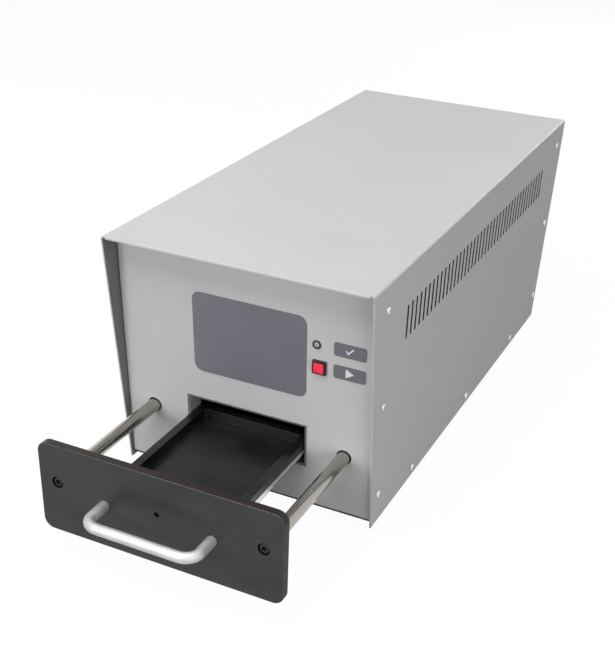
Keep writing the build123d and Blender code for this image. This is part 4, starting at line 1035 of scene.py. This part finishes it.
screw_inset = 0.0092
column_heights = (0.233, 0.1375, 0.042)
row_steps = (-0.166, 0, 0.166)
row_z = 0.0205
cover_seats = []
for x, facing in ((cover_low.x, (-1, 0, 0)), (cover_high.x, (1, 0, 0))):
    for z in column_heights:
        inset = panel_y(z) - cover_low.y + screw_inset
        cover_seats.append((Vector((x, cover_low.y + inset, z)), facing))
        cover_seats.append((Vector((x, cover_high.y - inset, z)), facing))
    for step in row_steps:
        cover_seats.append((Vector((x, cover_middle.y + step, row_z)), facing))
lay_screws("cover_screw_heads", cover_seats, "cover_screws")


# Fan screws: the same pan heads at the corners of the grille, through the rear panel
# into the fan's frame.
fan_centre = on_rear(x=-0.06, z=0.184)
fan_half_pitch = 0.03575
fan_seats = []
for x in (-fan_half_pitch, fan_half_pitch):
    for up in (-fan_half_pitch, fan_half_pitch):
        fan_seats.append((fan_centre + Vector((x, 0, 0)) + rear_up * up, rear_out))
lay_screws("fan_screw_heads", fan_seats, "fan_screws")
bpy.data.objects.remove(head)


# Floor and light: a pale floor that fills the view and keeps the shadow, in white surroundings that show to
# the camera, in metal and through the lens. Six soft lights stand above, before, beside and behind the part.
def seen_directly(tree):
    """Socket that is 1 for rays from the camera and for those from gloss or glass, and 0 for the rest."""
    rays = tree.nodes.new("ShaderNodeLightPath")
    seen = rays.outputs["Is Camera Ray"]
    for kind in ("Is Glossy Ray", "Is Transmission Ray"):
        either = tree.nodes.new("ShaderNodeMath")
        either.operation = "MAXIMUM"
        tree.links.new(seen, either.inputs[0])
        tree.links.new(rays.outputs[kind], either.inputs[1])
        seen = either.outputs[0]
    return seen


put_down()
bpy.ops.mesh.primitive_plane_add(size=14, location=(0, 3, 0))
floor = bpy.context.object
floor.name = "floor"
floor_paper = bpy.data.materials.new("floor_paper")
floor_paper.use_nodes = True
tree = floor_paper.node_tree
tree.nodes.remove(tree.nodes["Principled BSDF"])
glow_share = tree.nodes.new("ShaderNodeMath")
glow_share.operation = "MULTIPLY"
glow_share.inputs[1].default_value = 0.85
matt = tree.nodes.new("ShaderNodeBsdfDiffuse")
matt.inputs["Color"].default_value = (0.3, 0.3, 0.3, 1)
glow = tree.nodes.new("ShaderNodeEmission")
glow.inputs["Strength"].default_value = 1.13
mixed = tree.nodes.new("ShaderNodeMixShader")
tree.links.new(seen_directly(tree), glow_share.inputs[0])
tree.links.new(glow_share.outputs[0], mixed.inputs[0])
tree.links.new(matt.outputs[0], mixed.inputs[1])
tree.links.new(glow.outputs[0], mixed.inputs[2])
tree.links.new(mixed.outputs[0], tree.nodes["Material Output"].inputs["Surface"])
floor.data.materials.append(floor_paper)

world = bpy.data.worlds.new("studio")
bpy.context.scene.world = world
world.use_nodes = True
tree = world.node_tree
strength = tree.nodes.new("ShaderNodeMapRange")
strength.inputs["To Min"].default_value = 0.12
strength.inputs["To Max"].default_value = 0.975
tree.links.new(seen_directly(tree), strength.inputs["Value"])
tree.links.new(strength.outputs["Result"], tree.nodes["Background"].inputs["Strength"])
tree.nodes["Background"].inputs["Color"].default_value = (1, 1, 1, 1)


def soft_light(name, place, aim, size, watts):
    """Area light turned towards a point."""
    lamp = bpy.data.lights.new(name, "AREA")
    lamp.shape = "RECTANGLE"
    lamp.size, lamp.size_y = size
    lamp.energy = watts
    holder = bpy.data.objects.new(name, lamp)
    holder.location = place
    holder.rotation_euler = (Vector(aim) - Vector(place)).to_track_quat("-Z", "Y").to_euler()
    bpy.context.scene.collection.objects.link(holder)


soft_light("top_light", place=(-0.1, 0.35, 1.9), aim=(0, 0.15, 0.2), size=(1.2, 1.2), watts=6.5)
soft_light("upper_light", place=(-0.1, -0.85, 1.8), aim=(0, -0.1, 0.2), size=(1.3, 1.0), watts=22)
soft_light("front_light", place=(-0.6, -2.0, 0.68), aim=(0, -0.1, 0.12), size=(0.9, 0.5), watts=15.5)
soft_light("side_light", place=(1.0, -0.8, 0.35), aim=(0.1, -0.2, 0.1), size=(0.8, 0.6), watts=4)
soft_light("left_light", place=(-1.5, 0.5, 0.6), aim=(-0.1, 0, 0.1), size=(0.8, 0.6), watts=5)
soft_light("rear_light", place=(0.35, 2.2, 0.6), aim=(0, 0.3, 0.1), size=(0.9, 0.7), watts=17)


# Camera: to the right of the drawer and above it, tipped down, as in the photograph.
# Its shift is what the photograph's framing needs.
camera_place = (0.4333, -0.9931, 0.6317)
camera_turn = 0.4419
camera_tip = 0.5398
camera_roll = 0.032
optics = bpy.data.cameras.new("camera")
optics.lens = 62.55
optics.sensor_width = 36
optics.shift_x = 0.019
optics.shift_y = 0.1575
camera = bpy.data.objects.new("camera", optics)
camera.matrix_world = Matrix.Translation(camera_place) @ (
    Matrix.Rotation(camera_turn, 4, "Z")
    @ Matrix.Rotation(pi / 2 - camera_tip, 4, "X")
    @ Matrix.Rotation(camera_roll, 4, "Z")
)
bpy.context.scene.collection.objects.link(camera)
bpy.context.scene.camera = camera
bpy.context.scene.view_settings.view_transform = "Standard"

bpy.context.view_layer.update()
